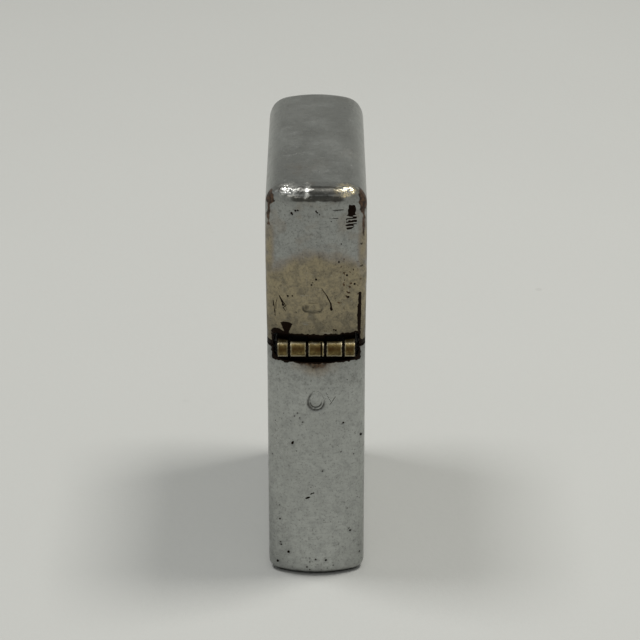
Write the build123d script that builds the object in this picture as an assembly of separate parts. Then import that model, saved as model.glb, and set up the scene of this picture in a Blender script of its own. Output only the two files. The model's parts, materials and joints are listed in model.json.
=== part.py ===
"""Pocket petrol lighter with a hinged lid: case, hinge, and the lighter unit inside it.

Frame: +Z up, +X away from the hinge, origin at the centre of the flat base.
All lengths are in millimetres.
"""

from build123d import *
from math import cos, pi, sin, sqrt
import os

# ---------------------------------------------------------------- driving dimensions

# Case and lid
case_height = 57.0
case_width = 38.0
case_thickness = 13.0
lid_height = 22.7
wall = 0.6
seam_gap = 0.1
end_radius = 12.0
corner_radius = 1.8
broad_top_radius = 2.5
narrow_top_radius = 1.2
bottom_radius = 0.9
dome_drop_across = 0.4
dome_drop_along = 0.3
least_radius = 0.1
weld_dimple_width = 2.4
weld_dimple_depth = 0.12
lid_dimple_above_split = 5.9
body_dimple_below_split = 7.8

# Hinge
knuckle_diameter = 2.1
knuckle_outset = 0.85
hinge_side_margin = 1.345
outer_knuckle_share = 0.69
knuckle_gap = 0.2
leaf_thickness = 0.4
pin_clearance = 0.02
notch_side_gap = 0.5
notch_reach = 1.9
notch_corner_radius = 0.5
notch_cut_depth = 6.0
leaf_web_reach = 3.0
lid_leaf_reach = 9.0
body_leaf_reach = 11.0

# Clearances between pieces of the lighter unit, and how far a cut runs past its piece
cut_margin = 1.0
seat_gap = 0.02
unit_side_gap = 0.1
unit_far_gap = 0.25
hinge_side_gap = 0.1
soft_gap = 0.2

# Tank
tank_sheet = 0.4
deck_rise = 1.9
deck_flange_height = 1.6
felt_thickness = 2.8
felt_lift = 0.3

# Chimney and its ears
chimney_sheet = 0.4
chimney_headroom = 3.4
chimney_side_gap = 0.9
chimney_swing_gap = 0.65
chimney_from_wheel = 2.5
chimney_far_corner_radius = 4.0
chimney_near_corner_radius = 0.8
vent_hole_diameter = 2.0
vent_pitch_along = 3.9
vent_pitch_up = 3.6
vent_below_top = 3.4
vent_rows = (3, 2, 3)
ear_above_axle = 2.0
ear_beyond_cam = 2.0
ear_gap = 0.3
ear_chamfer = 1.0

# Striker wheel
wheel_from_hinge = 11.8
wheel_axle_height = 9.5
wheel_radius = 4.25
wheel_width = 6.0
wheel_boss_height = 0.25
wheel_boss_radius = 2.4
tooth_count = 40
tooth_depth = 0.35
tooth_root_share = 0.4
wheel_rivet_radius = 1.1
axle_clearance = 0.05
rivet_head_thickness = 0.45
rivet_head_overhang = 0.6

# Cam and its spring
cam_from_hinge = 6.5
cam_pivot_height = 4.0
cam_width = 5.6
cam_body_radius = 1.9
cam_nose_radius = 0.75
cam_nose_reach = 4.3
cam_nose_drop = 2.2
cam_heel_root = 1.0
cam_heel_radius = 0.7
cam_heel_reach = 0.7
cam_heel_drop = 2.9
cam_rivet_radius = 0.8
cam_spring_sheet = 0.25
cam_spring_width = 4.0
cam_spring_bend = 0.6
cam_spring_leg_height = 2.4
cam_spring_tail = 4.1
cam_spring_play = 0.1
cam_spring_slot_side = 0.3
cam_spring_slot_swing = 1.2
cam_spring_rivet_radius = 0.65
cam_spring_rivet_from_leg = 3.8

# Flint feed
flint_tube_radius = 1.9
flint_tube_bore = 1.5
flint_tube_below_wheel = 0.45
flint_radius = 1.2
flint_length = 5.0
flint_wheel_gap = 0.1
pusher_radius = 1.3
pusher_length = 4.0
pusher_spigot_radius = 0.6
pusher_spigot_length = 3.0
spring_wire = 0.35
spring_outer_radius = 1.3
spring_pitch = 1.9
screw_head_radius = 2.4
screw_head_thickness = 1.2
screw_head_lift = 0.25
screw_slot_width = 0.6
screw_slot_depth = 0.6
screw_shank_length = 6.0
screw_clearance = 0.05

# Wick and packing
wick_radius = 1.4
wick_above_deck = 13.5
wick_turn_radius = 3.0
wick_lane_count = 3
packing_corner_radius = 1.6
packing_below_spring = 1.4

# ---------------------------------------------------------------- worked-out places

split = case_height - lid_height
end_centre = case_width / 2 - end_radius
knuckle_radius = knuckle_diameter / 2
knuckle_bore = knuckle_radius - leaf_thickness
pin_radius = knuckle_bore - pin_clearance
hinge_x = -(case_width / 2 + knuckle_outset - knuckle_radius)
knuckle_total = case_thickness - 2 * hinge_side_margin
inner_knuckle_length = (knuckle_total - 4 * knuckle_gap) / (3 + 2 * outer_knuckle_share)
outer_knuckle_length = outer_knuckle_share * inner_knuckle_length

unit_floor = wall
deck_top = split + deck_rise
deck_under = deck_top - tank_sheet
tank_near = hinge_x + knuckle_radius + hinge_side_gap
tank_far = case_width / 2 - wall - unit_far_gap
tank_centre = (tank_near + tank_far) / 2
tank_half_width = (tank_far - tank_near) / 2
tank_half_thickness = case_thickness / 2 - wall - unit_side_gap
tank_end_radius = end_radius - wall - unit_far_gap

wheel_x = hinge_x + wheel_from_hinge
wheel_z = deck_top + wheel_axle_height
cam_x = hinge_x + cam_from_hinge
cam_z = deck_top + cam_pivot_height

chimney_top = case_height - wall - chimney_headroom
chimney_half_thickness = case_thickness / 2 - wall - chimney_side_gap
chimney_near = wheel_x + chimney_from_wheel
lid_swing_reach = case_width / 2 - wall - hinge_x - chimney_swing_gap
chimney_far = hinge_x + sqrt(lid_swing_reach**2 - (chimney_top - split) ** 2)
ear_inner = wheel_width / 2 + ear_gap
ear_outer = ear_inner + chimney_sheet
wick_x = (chimney_near + chimney_far) / 2

flint_top = wheel_z - wheel_radius - flint_wheel_gap
flint_bottom = flint_top - flint_length
pusher_bottom = flint_bottom - pusher_length
screw_head_bottom = unit_floor + screw_head_lift
screw_head_top = screw_head_bottom + screw_head_thickness
screw_top = screw_head_top + screw_shank_length
spring_leg_x = cam_x + cam_heel_reach + cam_heel_radius + cam_spring_play
spring_top = deck_under - seat_gap


# ---------------------------------------------------------------- shared shapes


def block(low, high):
    """A box between two opposite corners."""
    size = [high[i] - low[i] for i in range(3)]
    middle = [(high[i] + low[i]) / 2 for i in range(3)]
    return Pos(*middle) * Box(*size)


def post(x, y, low, high, radius):
    """A round bar along Z between two heights."""
    return Pos(x, y, (low + high) / 2) * Cylinder(radius, high - low)


def cross_bar(x, z, radius, length, y=0.0):
    """A round bar along Y, centred at y."""
    return Pos(x, y, z) * Rot(90, 0, 0) * Cylinder(radius, length)


def bowed_plan(half_width, half_thickness, bow_radius, corner):
    """Plan outline: straight broad sides, bowed narrow ends, rounded corners."""
    bow_centre = half_width - bow_radius
    corner_x = bow_centre + sqrt(bow_radius**2 - half_thickness**2)
    sides = [
        Line((-corner_x, half_thickness), (corner_x, half_thickness)),
        ThreePointArc((corner_x, half_thickness), (half_width, 0), (corner_x, -half_thickness)),
        Line((corner_x, -half_thickness), (-corner_x, -half_thickness)),
        ThreePointArc((-corner_x, -half_thickness), (-half_width, 0), (-corner_x, half_thickness)),
    ]
    face = make_face(sides)
    return fillet(face.vertices(), max(corner, least_radius))


def case_plan(inset):
    """Plan of the case, moved inwards by an inset."""
    return bowed_plan(
        case_width / 2 - inset,
        case_thickness / 2 - inset,
        end_radius - inset,
        corner_radius - inset,
    )


def tank_plan(inset):
    """Plan of the tank, moved inwards by an inset."""
    return Pos(tank_centre, 0) * bowed_plan(
        tank_half_width - inset,
        tank_half_thickness - inset,
        tank_end_radius - inset,
        corner_radius - wall - unit_side_gap - inset,
    )


def prism(face, low, high):
    """A plan outline raised between two heights."""
    return Pos(0, 0, low) * extrude(face, high - low)


def domed_view(half_width, dome_drop, top_radius, inset):
    """Side or end view of the case: flat base, rounded top edges, slightly domed top."""
    dome_radius = (half_width**2 + dome_drop**2) / (2 * dome_drop)
    dome_centre = case_height - dome_radius
    half = half_width - inset
    radius = dome_radius - inset
    shoulder = dome_centre + sqrt(radius**2 - half**2)
    foot = inset
    sides = [
        Line((-half, shoulder), (-half, foot)),
        Line((-half, foot), (half, foot)),
        Line((half, foot), (half, shoulder)),
        ThreePointArc((half, shoulder), (0, dome_centre + radius), (-half, shoulder)),
    ]
    face = make_face(sides)
    top_corners = face.vertices().sort_by(Axis.Y)[-2:]
    face = fillet(top_corners, max(top_radius - inset, least_radius))
    if inset > 0:
        return face
    bottom_corners = face.vertices().sort_by(Axis.Y)[:2]
    return fillet(bottom_corners, bottom_radius)


def case_envelope(inset):
    """The closed case as one solid, with every face moved inwards by an inset."""
    along = Plane.XZ * domed_view(case_width / 2, dome_drop_along, narrow_top_radius, inset)
    across = Plane.YZ * domed_view(case_thickness / 2, dome_drop_across, broad_top_radius, inset)
    body = prism(case_plan(inset), 0, case_height)
    body = body & extrude(along, case_thickness, both=True)
    return body & extrude(across, case_width, both=True)


def level_slice(low, high):
    """A slab larger than the case in plan, used to keep one stretch of height."""
    return block((-case_width, -case_thickness, low), (case_width, case_thickness, high))


# ---------------------------------------------------------------- case and lid


def hinge_notch():
    """The window in both end walls in which the hinge knuckles turn."""
    width = knuckle_total + 2 * notch_side_gap
    outline = RectangleRounded(width, 2 * notch_reach, notch_corner_radius)
    placed = Plane.YZ.offset(-case_width / 2 - cut_margin) * Pos(0, split) * outline
    return extrude(placed, notch_cut_depth)


def weld_dimple(height):
    """The dished mark that a spot weld leaves on the hinge side."""
    half = weld_dimple_width / 2
    radius = (half**2 + weld_dimple_depth**2) / (2 * weld_dimple_depth)
    return Pos(-case_width / 2 + weld_dimple_depth - radius, 0, height) * Sphere(radius)


def hollow_case():
    """Case and lid still in one piece, with the hinge window cut."""
    return case_envelope(0) - case_envelope(wall) - hinge_notch()


def make_bottom_case(shell):
    body = shell & level_slice(-cut_margin, split - seam_gap / 2)
    return body - weld_dimple(split - body_dimple_below_split)


def make_lid_case(shell):
    lid = shell & level_slice(split + seam_gap / 2, case_height + cut_margin)
    return lid - weld_dimple(split + lid_dimple_above_split)


# ---------------------------------------------------------------- hinge


def knuckle_places():
    """(start, end) along Y for the five knuckles."""
    lengths = [outer_knuckle_length] + [inner_knuckle_length] * 3 + [outer_knuckle_length]
    places = []
    start = -knuckle_total / 2
    for length in lengths:
        places.append((start, start + length))
        start += length + knuckle_gap
    return places


def hinge_leaf(side, knuckles, reach):
    """A curved leaf with its rolled knuckles; side is 1 above the pin and -1 below it."""
    half = knuckle_total / 2
    outer = case_plan(wall + seat_gap)
    inner = case_plan(wall + leaf_thickness)
    sheet = prism(outer, 0, case_height) - prism(inner, 0, case_height)
    core = prism(inner, 0, case_height)

    def levels(first, second):
        return sorted((split + side * first, split + side * second))

    low, high = levels(notch_reach, reach)
    leaf = sheet & block((-case_width, -half, low), (-end_centre, half, high))
    for start, end in knuckles:
        low, high = levels(knuckle_bore, notch_reach)
        leaf += sheet & block((-case_width, start, low), (-end_centre, end, high))
        low, high = levels(knuckle_bore, knuckle_radius)
        leaf += block((hinge_x, start, low), (hinge_x + leaf_web_reach, end, high)) - core
        leaf += cross_bar(hinge_x, split, knuckle_radius, end - start, (start + end) / 2)
    return leaf - cross_bar(hinge_x, split, knuckle_bore, knuckle_total + cut_margin)


def make_hinge_pin():
    return cross_bar(hinge_x, split, pin_radius, knuckle_total)


# ---------------------------------------------------------------- tank


def make_tank_shell():
    outer = prism(tank_plan(0), unit_floor, deck_top)
    return outer - prism(tank_plan(tank_sheet), unit_floor, deck_top)


def make_tank_deck():
    edge = tank_sheet + seat_gap
    deck = prism(tank_plan(edge), deck_top - deck_flange_height, deck_top)
    deck -= prism(tank_plan(edge + tank_sheet), deck_top - deck_flange_height, deck_under)
    deck -= post(wheel_x, 0, deck_under, deck_top, flint_tube_radius + seat_gap)
    deck -= post(wick_x, 0, deck_under, deck_top, wick_radius + soft_gap)
    deck -= post(spring_rivet_x(), 0, deck_under, deck_top, cam_spring_rivet_radius + seat_gap)
    slot_half = cam_spring_width / 2 + cam_spring_slot_side
    slot_near = spring_leg_x - cam_spring_slot_swing
    slot_far = spring_leg_x + cam_spring_sheet + cam_spring_slot_side
    return deck - block((slot_near, -slot_half, deck_under), (slot_far, slot_half, deck_top))


def make_felt_pad():
    low = unit_floor + felt_lift
    pad = prism(tank_plan(tank_sheet + soft_gap), low, low + felt_thickness)
    return pad - post(wheel_x, 0, low, low + felt_thickness, screw_head_radius + soft_gap)


# ---------------------------------------------------------------- chimney


def chimney_plan(inset):
    """Plan of the chimney with the narrower channel between the ears."""
    half = chimney_half_thickness - inset
    near = chimney_near + inset
    far = chimney_far - inset
    box = Pos((near + far) / 2, 0) * Rectangle(far - near, 2 * half)
    corners = box.vertices().sort_by(Axis.X)
    far_corner = max(min(chimney_far_corner_radius - inset, half - least_radius), least_radius)
    near_corner = max(chimney_near_corner_radius - inset, least_radius)
    box = fillet(corners[2:], far_corner)
    box = fillet(box.vertices().sort_by(Axis.X)[:2], near_corner)
    ear_end = cam_x - ear_beyond_cam
    channel_half = ear_outer - inset
    channel_length = near + 2 * cut_margin - ear_end
    channel = Pos(ear_end + channel_length / 2, 0) * Rectangle(channel_length, 2 * channel_half)
    return box + channel


def ear_view():
    """Side view of the chimney and its ears, above the deck."""
    ear_end = cam_x - ear_beyond_cam
    ear_top = wheel_z + ear_above_axle
    points = [
        (ear_end, deck_top),
        (ear_end, cam_z + ear_beyond_cam - ear_chamfer),
        (ear_end + ear_chamfer, cam_z + ear_beyond_cam),
        (cam_x + ear_beyond_cam, cam_z + ear_beyond_cam),
        (wheel_x - ear_above_axle, ear_top),
        (chimney_near, ear_top),
        (chimney_near, chimney_top),
        (chimney_far, chimney_top),
        (chimney_far, deck_top),
    ]
    return Plane.XZ * make_face(Polyline(*points, close=True))


def vent_places():
    """The rows of round vents, as (x, z)."""
    places = []
    for row, count in enumerate(vent_rows):
        height = chimney_top - vent_below_top - row * vent_pitch_up
        for number in range(count):
            offset = number - (count - 1) / 2
            places.append((wick_x + offset * vent_pitch_along, height))
    return places


def make_chimney():
    sheet = prism(chimney_plan(0), deck_top, chimney_top)
    sheet -= prism(chimney_plan(chimney_sheet), deck_top, chimney_top)
    ear_end = cam_x - ear_beyond_cam
    low = (ear_end - cut_margin, -ear_inner, deck_top)
    sheet -= block(low, (chimney_near + cut_margin, ear_inner, chimney_top))
    sheet = sheet & extrude(ear_view(), case_thickness, both=True)
    for x, z in vent_places():
        sheet -= cross_bar(x, z, vent_hole_diameter / 2, case_thickness)
    sheet -= cross_bar(wheel_x, wheel_z, wheel_rivet_radius + seat_gap, case_thickness)
    return sheet - cross_bar(cam_x, cam_z, cam_rivet_radius + seat_gap, case_thickness)


def ear_rivet(x, z, radius):
    """A rivet through both ears, with a round head outside each."""
    rivet = cross_bar(x, z, radius, 2 * ear_outer)
    head_middle = ear_outer + rivet_head_thickness / 2
    for y in (-head_middle, head_middle):
        rivet += cross_bar(x, z, radius + rivet_head_overhang, rivet_head_thickness, y)
    return rivet


# ---------------------------------------------------------------- striker wheel


def make_striker_wheel():
    points = []
    pitch = 2 * pi / tooth_count
    for number in range(tooth_count):
        tip = pitch * number
        root = tip + pitch * tooth_root_share
        points.append((wheel_radius * cos(tip), wheel_radius * sin(tip)))
        root_radius = wheel_radius - tooth_depth
        points.append((root_radius * cos(root), root_radius * sin(root)))
    outline = Plane.XZ * Pos(wheel_x, wheel_z) * make_face(Polyline(*points, close=True))
    wheel = extrude(outline, wheel_width / 2 - wheel_boss_height, both=True)
    wheel += cross_bar(wheel_x, wheel_z, wheel_boss_radius, wheel_width)
    return wheel - cross_bar(wheel_x, wheel_z, wheel_rivet_radius + axle_clearance, wheel_width)


# ---------------------------------------------------------------- cam and its spring


def tapered_arm(root_radius, reach, drop, tip_radius):
    """The outline of an arm from the cam's pivot to a rounded tip."""
    circles = Circle(root_radius) + Pos(reach, -drop) * Circle(tip_radius)
    return make_hull(circles.edges())


def make_lid_cam():
    outline = tapered_arm(cam_body_radius, -cam_nose_reach, cam_nose_drop, cam_nose_radius)
    outline += tapered_arm(cam_heel_root, cam_heel_reach, cam_heel_drop, cam_heel_radius)
    cam = extrude(Plane.XZ * Pos(cam_x, cam_z) * outline, cam_width / 2, both=True)
    return cam - cross_bar(cam_x, cam_z, cam_rivet_radius + axle_clearance, cam_width)


def spring_rivet_x():
    return spring_leg_x - cam_spring_rivet_from_leg


def make_cam_spring():
    """A flat tail under the deck that bends up to a leg beside the cam's heel."""
    tail = spring_leg_x - cam_spring_tail - cam_spring_bend
    under = spring_top - cam_spring_sheet
    half = cam_spring_width / 2
    leg_far = spring_leg_x + cam_spring_sheet
    spring = block((tail, -half, under), (spring_leg_x - cam_spring_bend, half, spring_top))
    leg_low = spring_top + cam_spring_bend
    leg_high = deck_top + cam_spring_leg_height
    spring += block((spring_leg_x, -half, leg_low), (leg_far, half, leg_high))
    bend_x = spring_leg_x - cam_spring_bend
    ring = cross_bar(bend_x, leg_low, cam_spring_bend + cam_spring_sheet, cam_spring_width)
    ring -= cross_bar(bend_x, leg_low, cam_spring_bend, cam_spring_width)
    spring += ring & block((bend_x, -half, under), (leg_far, half, leg_low))
    hole = cam_spring_rivet_radius + seat_gap
    return spring - post(spring_rivet_x(), 0, under - cut_margin, spring_top + cut_margin, hole)


def make_cam_spring_rivet():
    x = spring_rivet_x()
    under = spring_top - cam_spring_sheet
    head_radius = cam_spring_rivet_radius + rivet_head_overhang
    rivet = post(x, 0, under, deck_top, cam_spring_rivet_radius)
    rivet += post(x, 0, deck_top, deck_top + rivet_head_thickness, head_radius)
    return rivet + post(x, 0, under - rivet_head_thickness, under, head_radius)


# ---------------------------------------------------------------- flint feed


def make_flint_tube():
    top = wheel_z - wheel_radius - flint_tube_below_wheel
    tube = post(wheel_x, 0, screw_head_top, top, flint_tube_radius)
    return tube - post(wheel_x, 0, screw_head_top, top, flint_tube_bore)


def make_flint_screw():
    screw = post(wheel_x, 0, screw_head_bottom, screw_head_top, screw_head_radius)
    screw += post(wheel_x, 0, screw_head_top, screw_top, flint_tube_bore - screw_clearance)
    slot_half = screw_slot_width / 2
    slot_low = (wheel_x - screw_head_radius, -slot_half, screw_head_bottom)
    slot_high = (wheel_x + screw_head_radius, slot_half, screw_head_bottom + screw_slot_depth)
    return screw - block(slot_low, slot_high)


def make_flint_spring():
    coil_radius = spring_outer_radius - spring_wire / 2
    low = screw_top + spring_wire / 2 + seat_gap
    high = pusher_bottom - spring_wire / 2 - seat_gap
    path = Pos(wheel_x, 0, low) * Helix(spring_pitch, high - low, coil_radius)
    section = Plane(origin=path @ 0, z_dir=path % 0) * Circle(spring_wire / 2)
    return sweep(section, path, is_frenet=True)


def make_flint_pusher():
    pusher = post(wheel_x, 0, pusher_bottom, flint_bottom, pusher_radius)
    spigot_low = pusher_bottom - pusher_spigot_length
    return pusher + post(wheel_x, 0, spigot_low, pusher_bottom, pusher_spigot_radius)


def make_flint():
    return post(wheel_x, 0, flint_bottom, flint_top, flint_radius)


# ---------------------------------------------------------------- wick and packing

packing_low = unit_floor + felt_lift + felt_thickness + soft_gap
packing_high = deck_top - deck_flange_height - soft_gap
packing_near = wheel_x + flint_tube_radius + soft_gap
packing_far = tank_far - tank_sheet - soft_gap
lane_height = 2 * (wick_radius + soft_gap)
row_height = (packing_high - packing_low - wick_lane_count * lane_height) / (wick_lane_count + 1)
lane_pitch = row_height + lane_height


def lane_level(number):
    """Height of a level wick run; number 0 is the highest."""
    return packing_high - row_height - lane_height / 2 - number * lane_pitch


def make_wick():
    """A round wick that stands in the chimney and lies in bends between the packing."""
    turn = lane_pitch / 2
    far_turn = packing_far - soft_gap - wick_radius - turn
    near_turn = packing_near + soft_gap + wick_radius + turn
    top, middle, low = (lane_level(number) for number in range(3))
    corner = wick_turn_radius
    slant = corner * (1 - cos(pi / 4))
    path = [
        Line((wick_x, deck_top + wick_above_deck), (wick_x, top + corner)),
        ThreePointArc(
            (wick_x, top + corner), (wick_x + slant, top + slant), (wick_x + corner, top)
        ),
        Line((wick_x + corner, top), (far_turn, top)),
        ThreePointArc((far_turn, top), (far_turn + turn, top - turn), (far_turn, middle)),
        Line((far_turn, middle), (near_turn, middle)),
        ThreePointArc((near_turn, middle), (near_turn - turn, middle - turn), (near_turn, low)),
        Line((near_turn, low), (far_turn, low)),
    ]
    line = Plane.XZ * Wire(path)
    section = Plane(origin=line @ 0, z_dir=line % 0) * Circle(wick_radius)
    return sweep(section, line)


def packing_ball(near, far, low, high):
    """One wad of packing, as a rounded block across the tank."""
    half = tank_half_thickness - tank_sheet - soft_gap
    wad = block((near, -half, low), (far, half, high))
    room = min(far - near, high - low, 2 * half) / 2 - least_radius
    wad = fillet(wad.edges(), min(packing_corner_radius, room))
    return wad & prism(tank_plan(tank_sheet + soft_gap), low, high)


def packing_balls():
    """Seven wads: five round the wick and two on the hinge side of the flint tube."""
    turn_room = lane_pitch / 2 + 2 * (wick_radius + soft_gap)
    beside_wick = wick_radius + soft_gap
    rows = []
    for number in range(wick_lane_count + 1):
        high = packing_high - number * lane_pitch
        rows.append((high - row_height, high))
    balls = [
        packing_ball(packing_near, wick_x - beside_wick, *rows[0]),
        packing_ball(wick_x + wick_turn_radius, packing_far, *rows[0]),
        packing_ball(packing_near, packing_far - turn_room, *rows[1]),
        packing_ball(packing_near + turn_room, packing_far, *rows[2]),
        packing_ball(packing_near, packing_far, *rows[3]),
    ]
    near = tank_near + tank_sheet + soft_gap
    far = wheel_x - flint_tube_radius - soft_gap
    high = packing_high - packing_below_spring
    middle = (packing_low + high) / 2
    balls.append(packing_ball(near, far, middle + soft_gap / 2, high))
    balls.append(packing_ball(near, far, packing_low, middle - soft_gap / 2))
    return balls


# ---------------------------------------------------------------- all pieces


def make_all():
    shell = hollow_case()
    places = knuckle_places()
    pieces = {
        "bottom_case": make_bottom_case(shell),
        "lid_case": make_lid_case(shell),
        "bottom_hinge_leaf": hinge_leaf(-1, places[1::2], body_leaf_reach),
        "lid_hinge_leaf": hinge_leaf(1, places[0::2], lid_leaf_reach),
        "hinge_pin": make_hinge_pin(),
        "tank_shell": make_tank_shell(),
        "tank_deck": make_tank_deck(),
        "felt_pad": make_felt_pad(),
        "chimney": make_chimney(),
        "wheel_rivet": ear_rivet(wheel_x, wheel_z, wheel_rivet_radius),
        "striker_wheel": make_striker_wheel(),
        "cam_rivet": ear_rivet(cam_x, cam_z, cam_rivet_radius),
        "lid_cam": make_lid_cam(),
        "cam_spring": make_cam_spring(),
        "cam_spring_rivet": make_cam_spring_rivet(),
        "flint_tube": make_flint_tube(),
        "flint_screw": make_flint_screw(),
        "flint_spring": make_flint_spring(),
        "flint_pusher": make_flint_pusher(),
        "flint": make_flint(),
        "wick": make_wick(),
    }
    for number, ball in enumerate(packing_balls(), start=1):
        pieces[f"rayon_ball_{number}"] = ball
    return pieces


os.makedirs("parts", exist_ok=True)
for name, piece in make_all().items():
    export_step(piece, f"parts/{name}.step")
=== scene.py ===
"""Looks of a worn pocket lighter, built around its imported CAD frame.

Lengths in the mesh code are millimetres in the CAD frame and become metres when a mesh is made.
"""

import json
import math
import random

import bmesh
import bpy
import numpy as np
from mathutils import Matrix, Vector, noise

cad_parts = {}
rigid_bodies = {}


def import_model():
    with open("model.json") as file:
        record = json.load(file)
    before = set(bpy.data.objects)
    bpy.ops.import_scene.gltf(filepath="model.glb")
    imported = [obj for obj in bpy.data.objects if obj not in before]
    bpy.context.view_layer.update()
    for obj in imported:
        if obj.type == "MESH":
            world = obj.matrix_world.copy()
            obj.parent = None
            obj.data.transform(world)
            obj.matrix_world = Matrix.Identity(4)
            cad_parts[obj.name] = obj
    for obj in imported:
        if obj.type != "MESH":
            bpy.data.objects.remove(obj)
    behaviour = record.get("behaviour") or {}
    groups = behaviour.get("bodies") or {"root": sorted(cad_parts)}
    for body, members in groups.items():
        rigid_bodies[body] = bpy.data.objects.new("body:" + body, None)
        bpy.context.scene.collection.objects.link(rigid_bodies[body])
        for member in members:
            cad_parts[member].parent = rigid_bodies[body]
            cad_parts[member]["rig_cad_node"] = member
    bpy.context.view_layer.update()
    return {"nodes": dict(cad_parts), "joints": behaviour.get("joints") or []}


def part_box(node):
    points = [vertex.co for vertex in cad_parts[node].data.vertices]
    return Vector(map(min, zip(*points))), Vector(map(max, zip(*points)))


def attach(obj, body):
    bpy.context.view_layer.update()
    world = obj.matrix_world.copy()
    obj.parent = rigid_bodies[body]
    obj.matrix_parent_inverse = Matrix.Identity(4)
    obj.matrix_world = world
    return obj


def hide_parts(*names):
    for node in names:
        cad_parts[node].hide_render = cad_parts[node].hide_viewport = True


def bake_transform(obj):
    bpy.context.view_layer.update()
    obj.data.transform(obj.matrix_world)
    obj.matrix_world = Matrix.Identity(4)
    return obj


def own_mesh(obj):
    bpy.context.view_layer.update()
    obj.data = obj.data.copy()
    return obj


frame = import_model()

MM = 0.001
RNG = random.Random(57)

# ------------------------------------------------------------------ sizes from the frame


def box_mm(node):
    """Lowest and highest corner of a CAD node, in millimetres."""
    low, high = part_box(node)
    return np.array(low) / MM, np.array(high) / MM


def joint_mm(name):
    """A point on a joint's axis, in millimetres."""
    joint = next(j for j in frame["joints"] if j["name"] == name)
    return np.array(joint["pos_m"]) / MM


body_high = box_mm("bottom_case")[1]
lid_low, lid_high = box_mm("lid_case")
hinge_x, _, split = joint_mm("lid_hinge")
wheel_x, _, wheel_z = joint_mm("striker_spin")
leaf_low, leaf_high = box_mm("lid_hinge_leaf")
body_leaf_low = box_mm("bottom_hinge_leaf")[0]
deck_top = box_mm("tank_deck")[1][2]

HALF_WIDTH = body_high[0]
HALF_THICK = body_high[1]
TOP = lid_high[2]
WALL = 0.6
END_RADIUS = 12.0  # plan radius of the two narrow ends
END_CENTRE = HALF_WIDTH - END_RADIUS
CORNER = 1.8
SEAM = lid_low[2] - split
NOTCH_REACH = 1.9
NOTCH_SIDE_GAP = 0.5
NOTCH_UPPER_ROUND, NOTCH_LOWER_ROUND = 0.5, 1.2
BARREL_RADIUS = hinge_x - leaf_low[0]
BARREL_SPAN = leaf_high[1] - leaf_low[1]
LEAF = 0.4
QUARTER, TURN = math.pi / 2, 2 * math.pi

# ------------------------------------------------------------------ mesh helpers


def add_object(name, data):
    """A new object in the scene."""
    obj = bpy.data.objects.new(name, data)
    bpy.context.scene.collection.objects.link(obj)
    return obj


def new_object(name, verts, faces):
    """A smooth mesh object from millimetre vertices."""
    mesh = bpy.data.meshes.new(name)
    mesh.from_pydata([tuple(v) for v in np.asarray(verts, float) * MM], [], faces)
    mesh.validate()
    mesh.shade_smooth()
    return add_object(name, mesh)


def points_mm(obj):
    """An object's vertices in millimetres."""
    return np.array([v.co for v in obj.data.vertices]) / MM


def apply_modifier(obj, kind, **settings):
    """Add a modifier with its settings and apply it."""
    modifier = obj.modifiers.new(kind.lower(), kind)
    for key, value in settings.items():
        setattr(modifier, key, value)
    with bpy.context.temp_override(active_object=obj, object=obj):
        bpy.ops.object.modifier_apply(modifier=modifier.name)


def clean(obj, merge=0.002, sharp_angle=None):
    """Merge doubles, drop empty faces and point every face outwards."""
    bm = bmesh.new()
    bm.from_mesh(obj.data)
    bmesh.ops.remove_doubles(bm, verts=bm.verts, dist=merge * MM)
    bmesh.ops.dissolve_degenerate(bm, edges=bm.edges, dist=merge * MM * 0.1)
    bmesh.ops.recalc_face_normals(bm, faces=bm.faces)
    bm.to_mesh(obj.data)
    bm.free()
    if sharp_angle is not None:
        obj.data.set_sharp_from_angle(angle=math.radians(sharp_angle))
    return obj


def join(name, objects):
    """Several meshes as one object."""
    first = objects[0]
    with bpy.context.temp_override(
        active_object=first, selected_editable_objects=objects, selected_objects=objects
    ):
        bpy.ops.object.join()
    first.name = name
    first.data.name = name
    return first


def loft(rings, close_ends=False):
    """Vertices and quads between rings that all have the same number of points."""
    count = len(rings[0])
    verts = np.concatenate(rings)
    faces = []
    for row in range(len(rings) - 1):
        for col in range(count):
            nxt = (col + 1) % count
            a, b = row * count + col, row * count + nxt
            faces.append((a, b, b + count, a + count))
    if close_ends:
        faces.append(tuple(range(count))[::-1])
        faces.append(tuple((len(rings) - 1) * count + i for i in range(count)))
    return verts, faces


def smoothstep(low, high, value):
    """0 at low, 1 at high and smooth between; falls instead where high is the lower number."""
    t = np.clip((value - low) / (high - low), 0, 1)
    return t * t * (3 - 2 * t)


def bell(value, centre, width):
    """1 at the centre, falling off smoothly over the width."""
    return np.exp(-(((value - centre) / width) ** 2))


def oval(y, z, centre, radii):
    """0 in the middle of an oval on the hinge end, 1 on its edge."""
    return np.hypot((y - centre[0]) / radii[0], (z - centre[1]) / radii[1])


def squarish(y, z, centre, radii):
    """0 in the middle of a patch with blunt corners, 1 on its edge."""
    return (np.abs(y - centre[0]) / radii[0]) ** 3 + (np.abs(z - centre[1]) / radii[1]) ** 3


def glow(y, z, centre, radii):
    """1 at a place on the hinge end, falling off smoothly in both directions."""
    return bell(y, centre[0], radii[0]) * bell(z, centre[1], radii[1])


def wander(points, scale, seed):
    """Smooth noise from -1 to 1 at millimetre points."""
    shift = Vector((seed * 7.3, seed * 3.1, seed * 5.7))
    return np.array([noise.noise(Vector(p) * scale + shift) for p in points])


def set_masks(obj, **masks):
    """Per-vertex masks that a material can read by name."""
    for name, values in masks.items():
        attribute = obj.data.attributes.new(name, "FLOAT", "POINT")
        attribute.data.foreach_set("value", np.asarray(values, np.float32))


# ------------------------------------------------------------------ case outline

SIDE_CELLS = 56
CORNER_CELLS = 8
FAR_END_CELLS = 26
HINGE_END_CELLS = 104
ROW_STEP = 0.16


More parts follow.
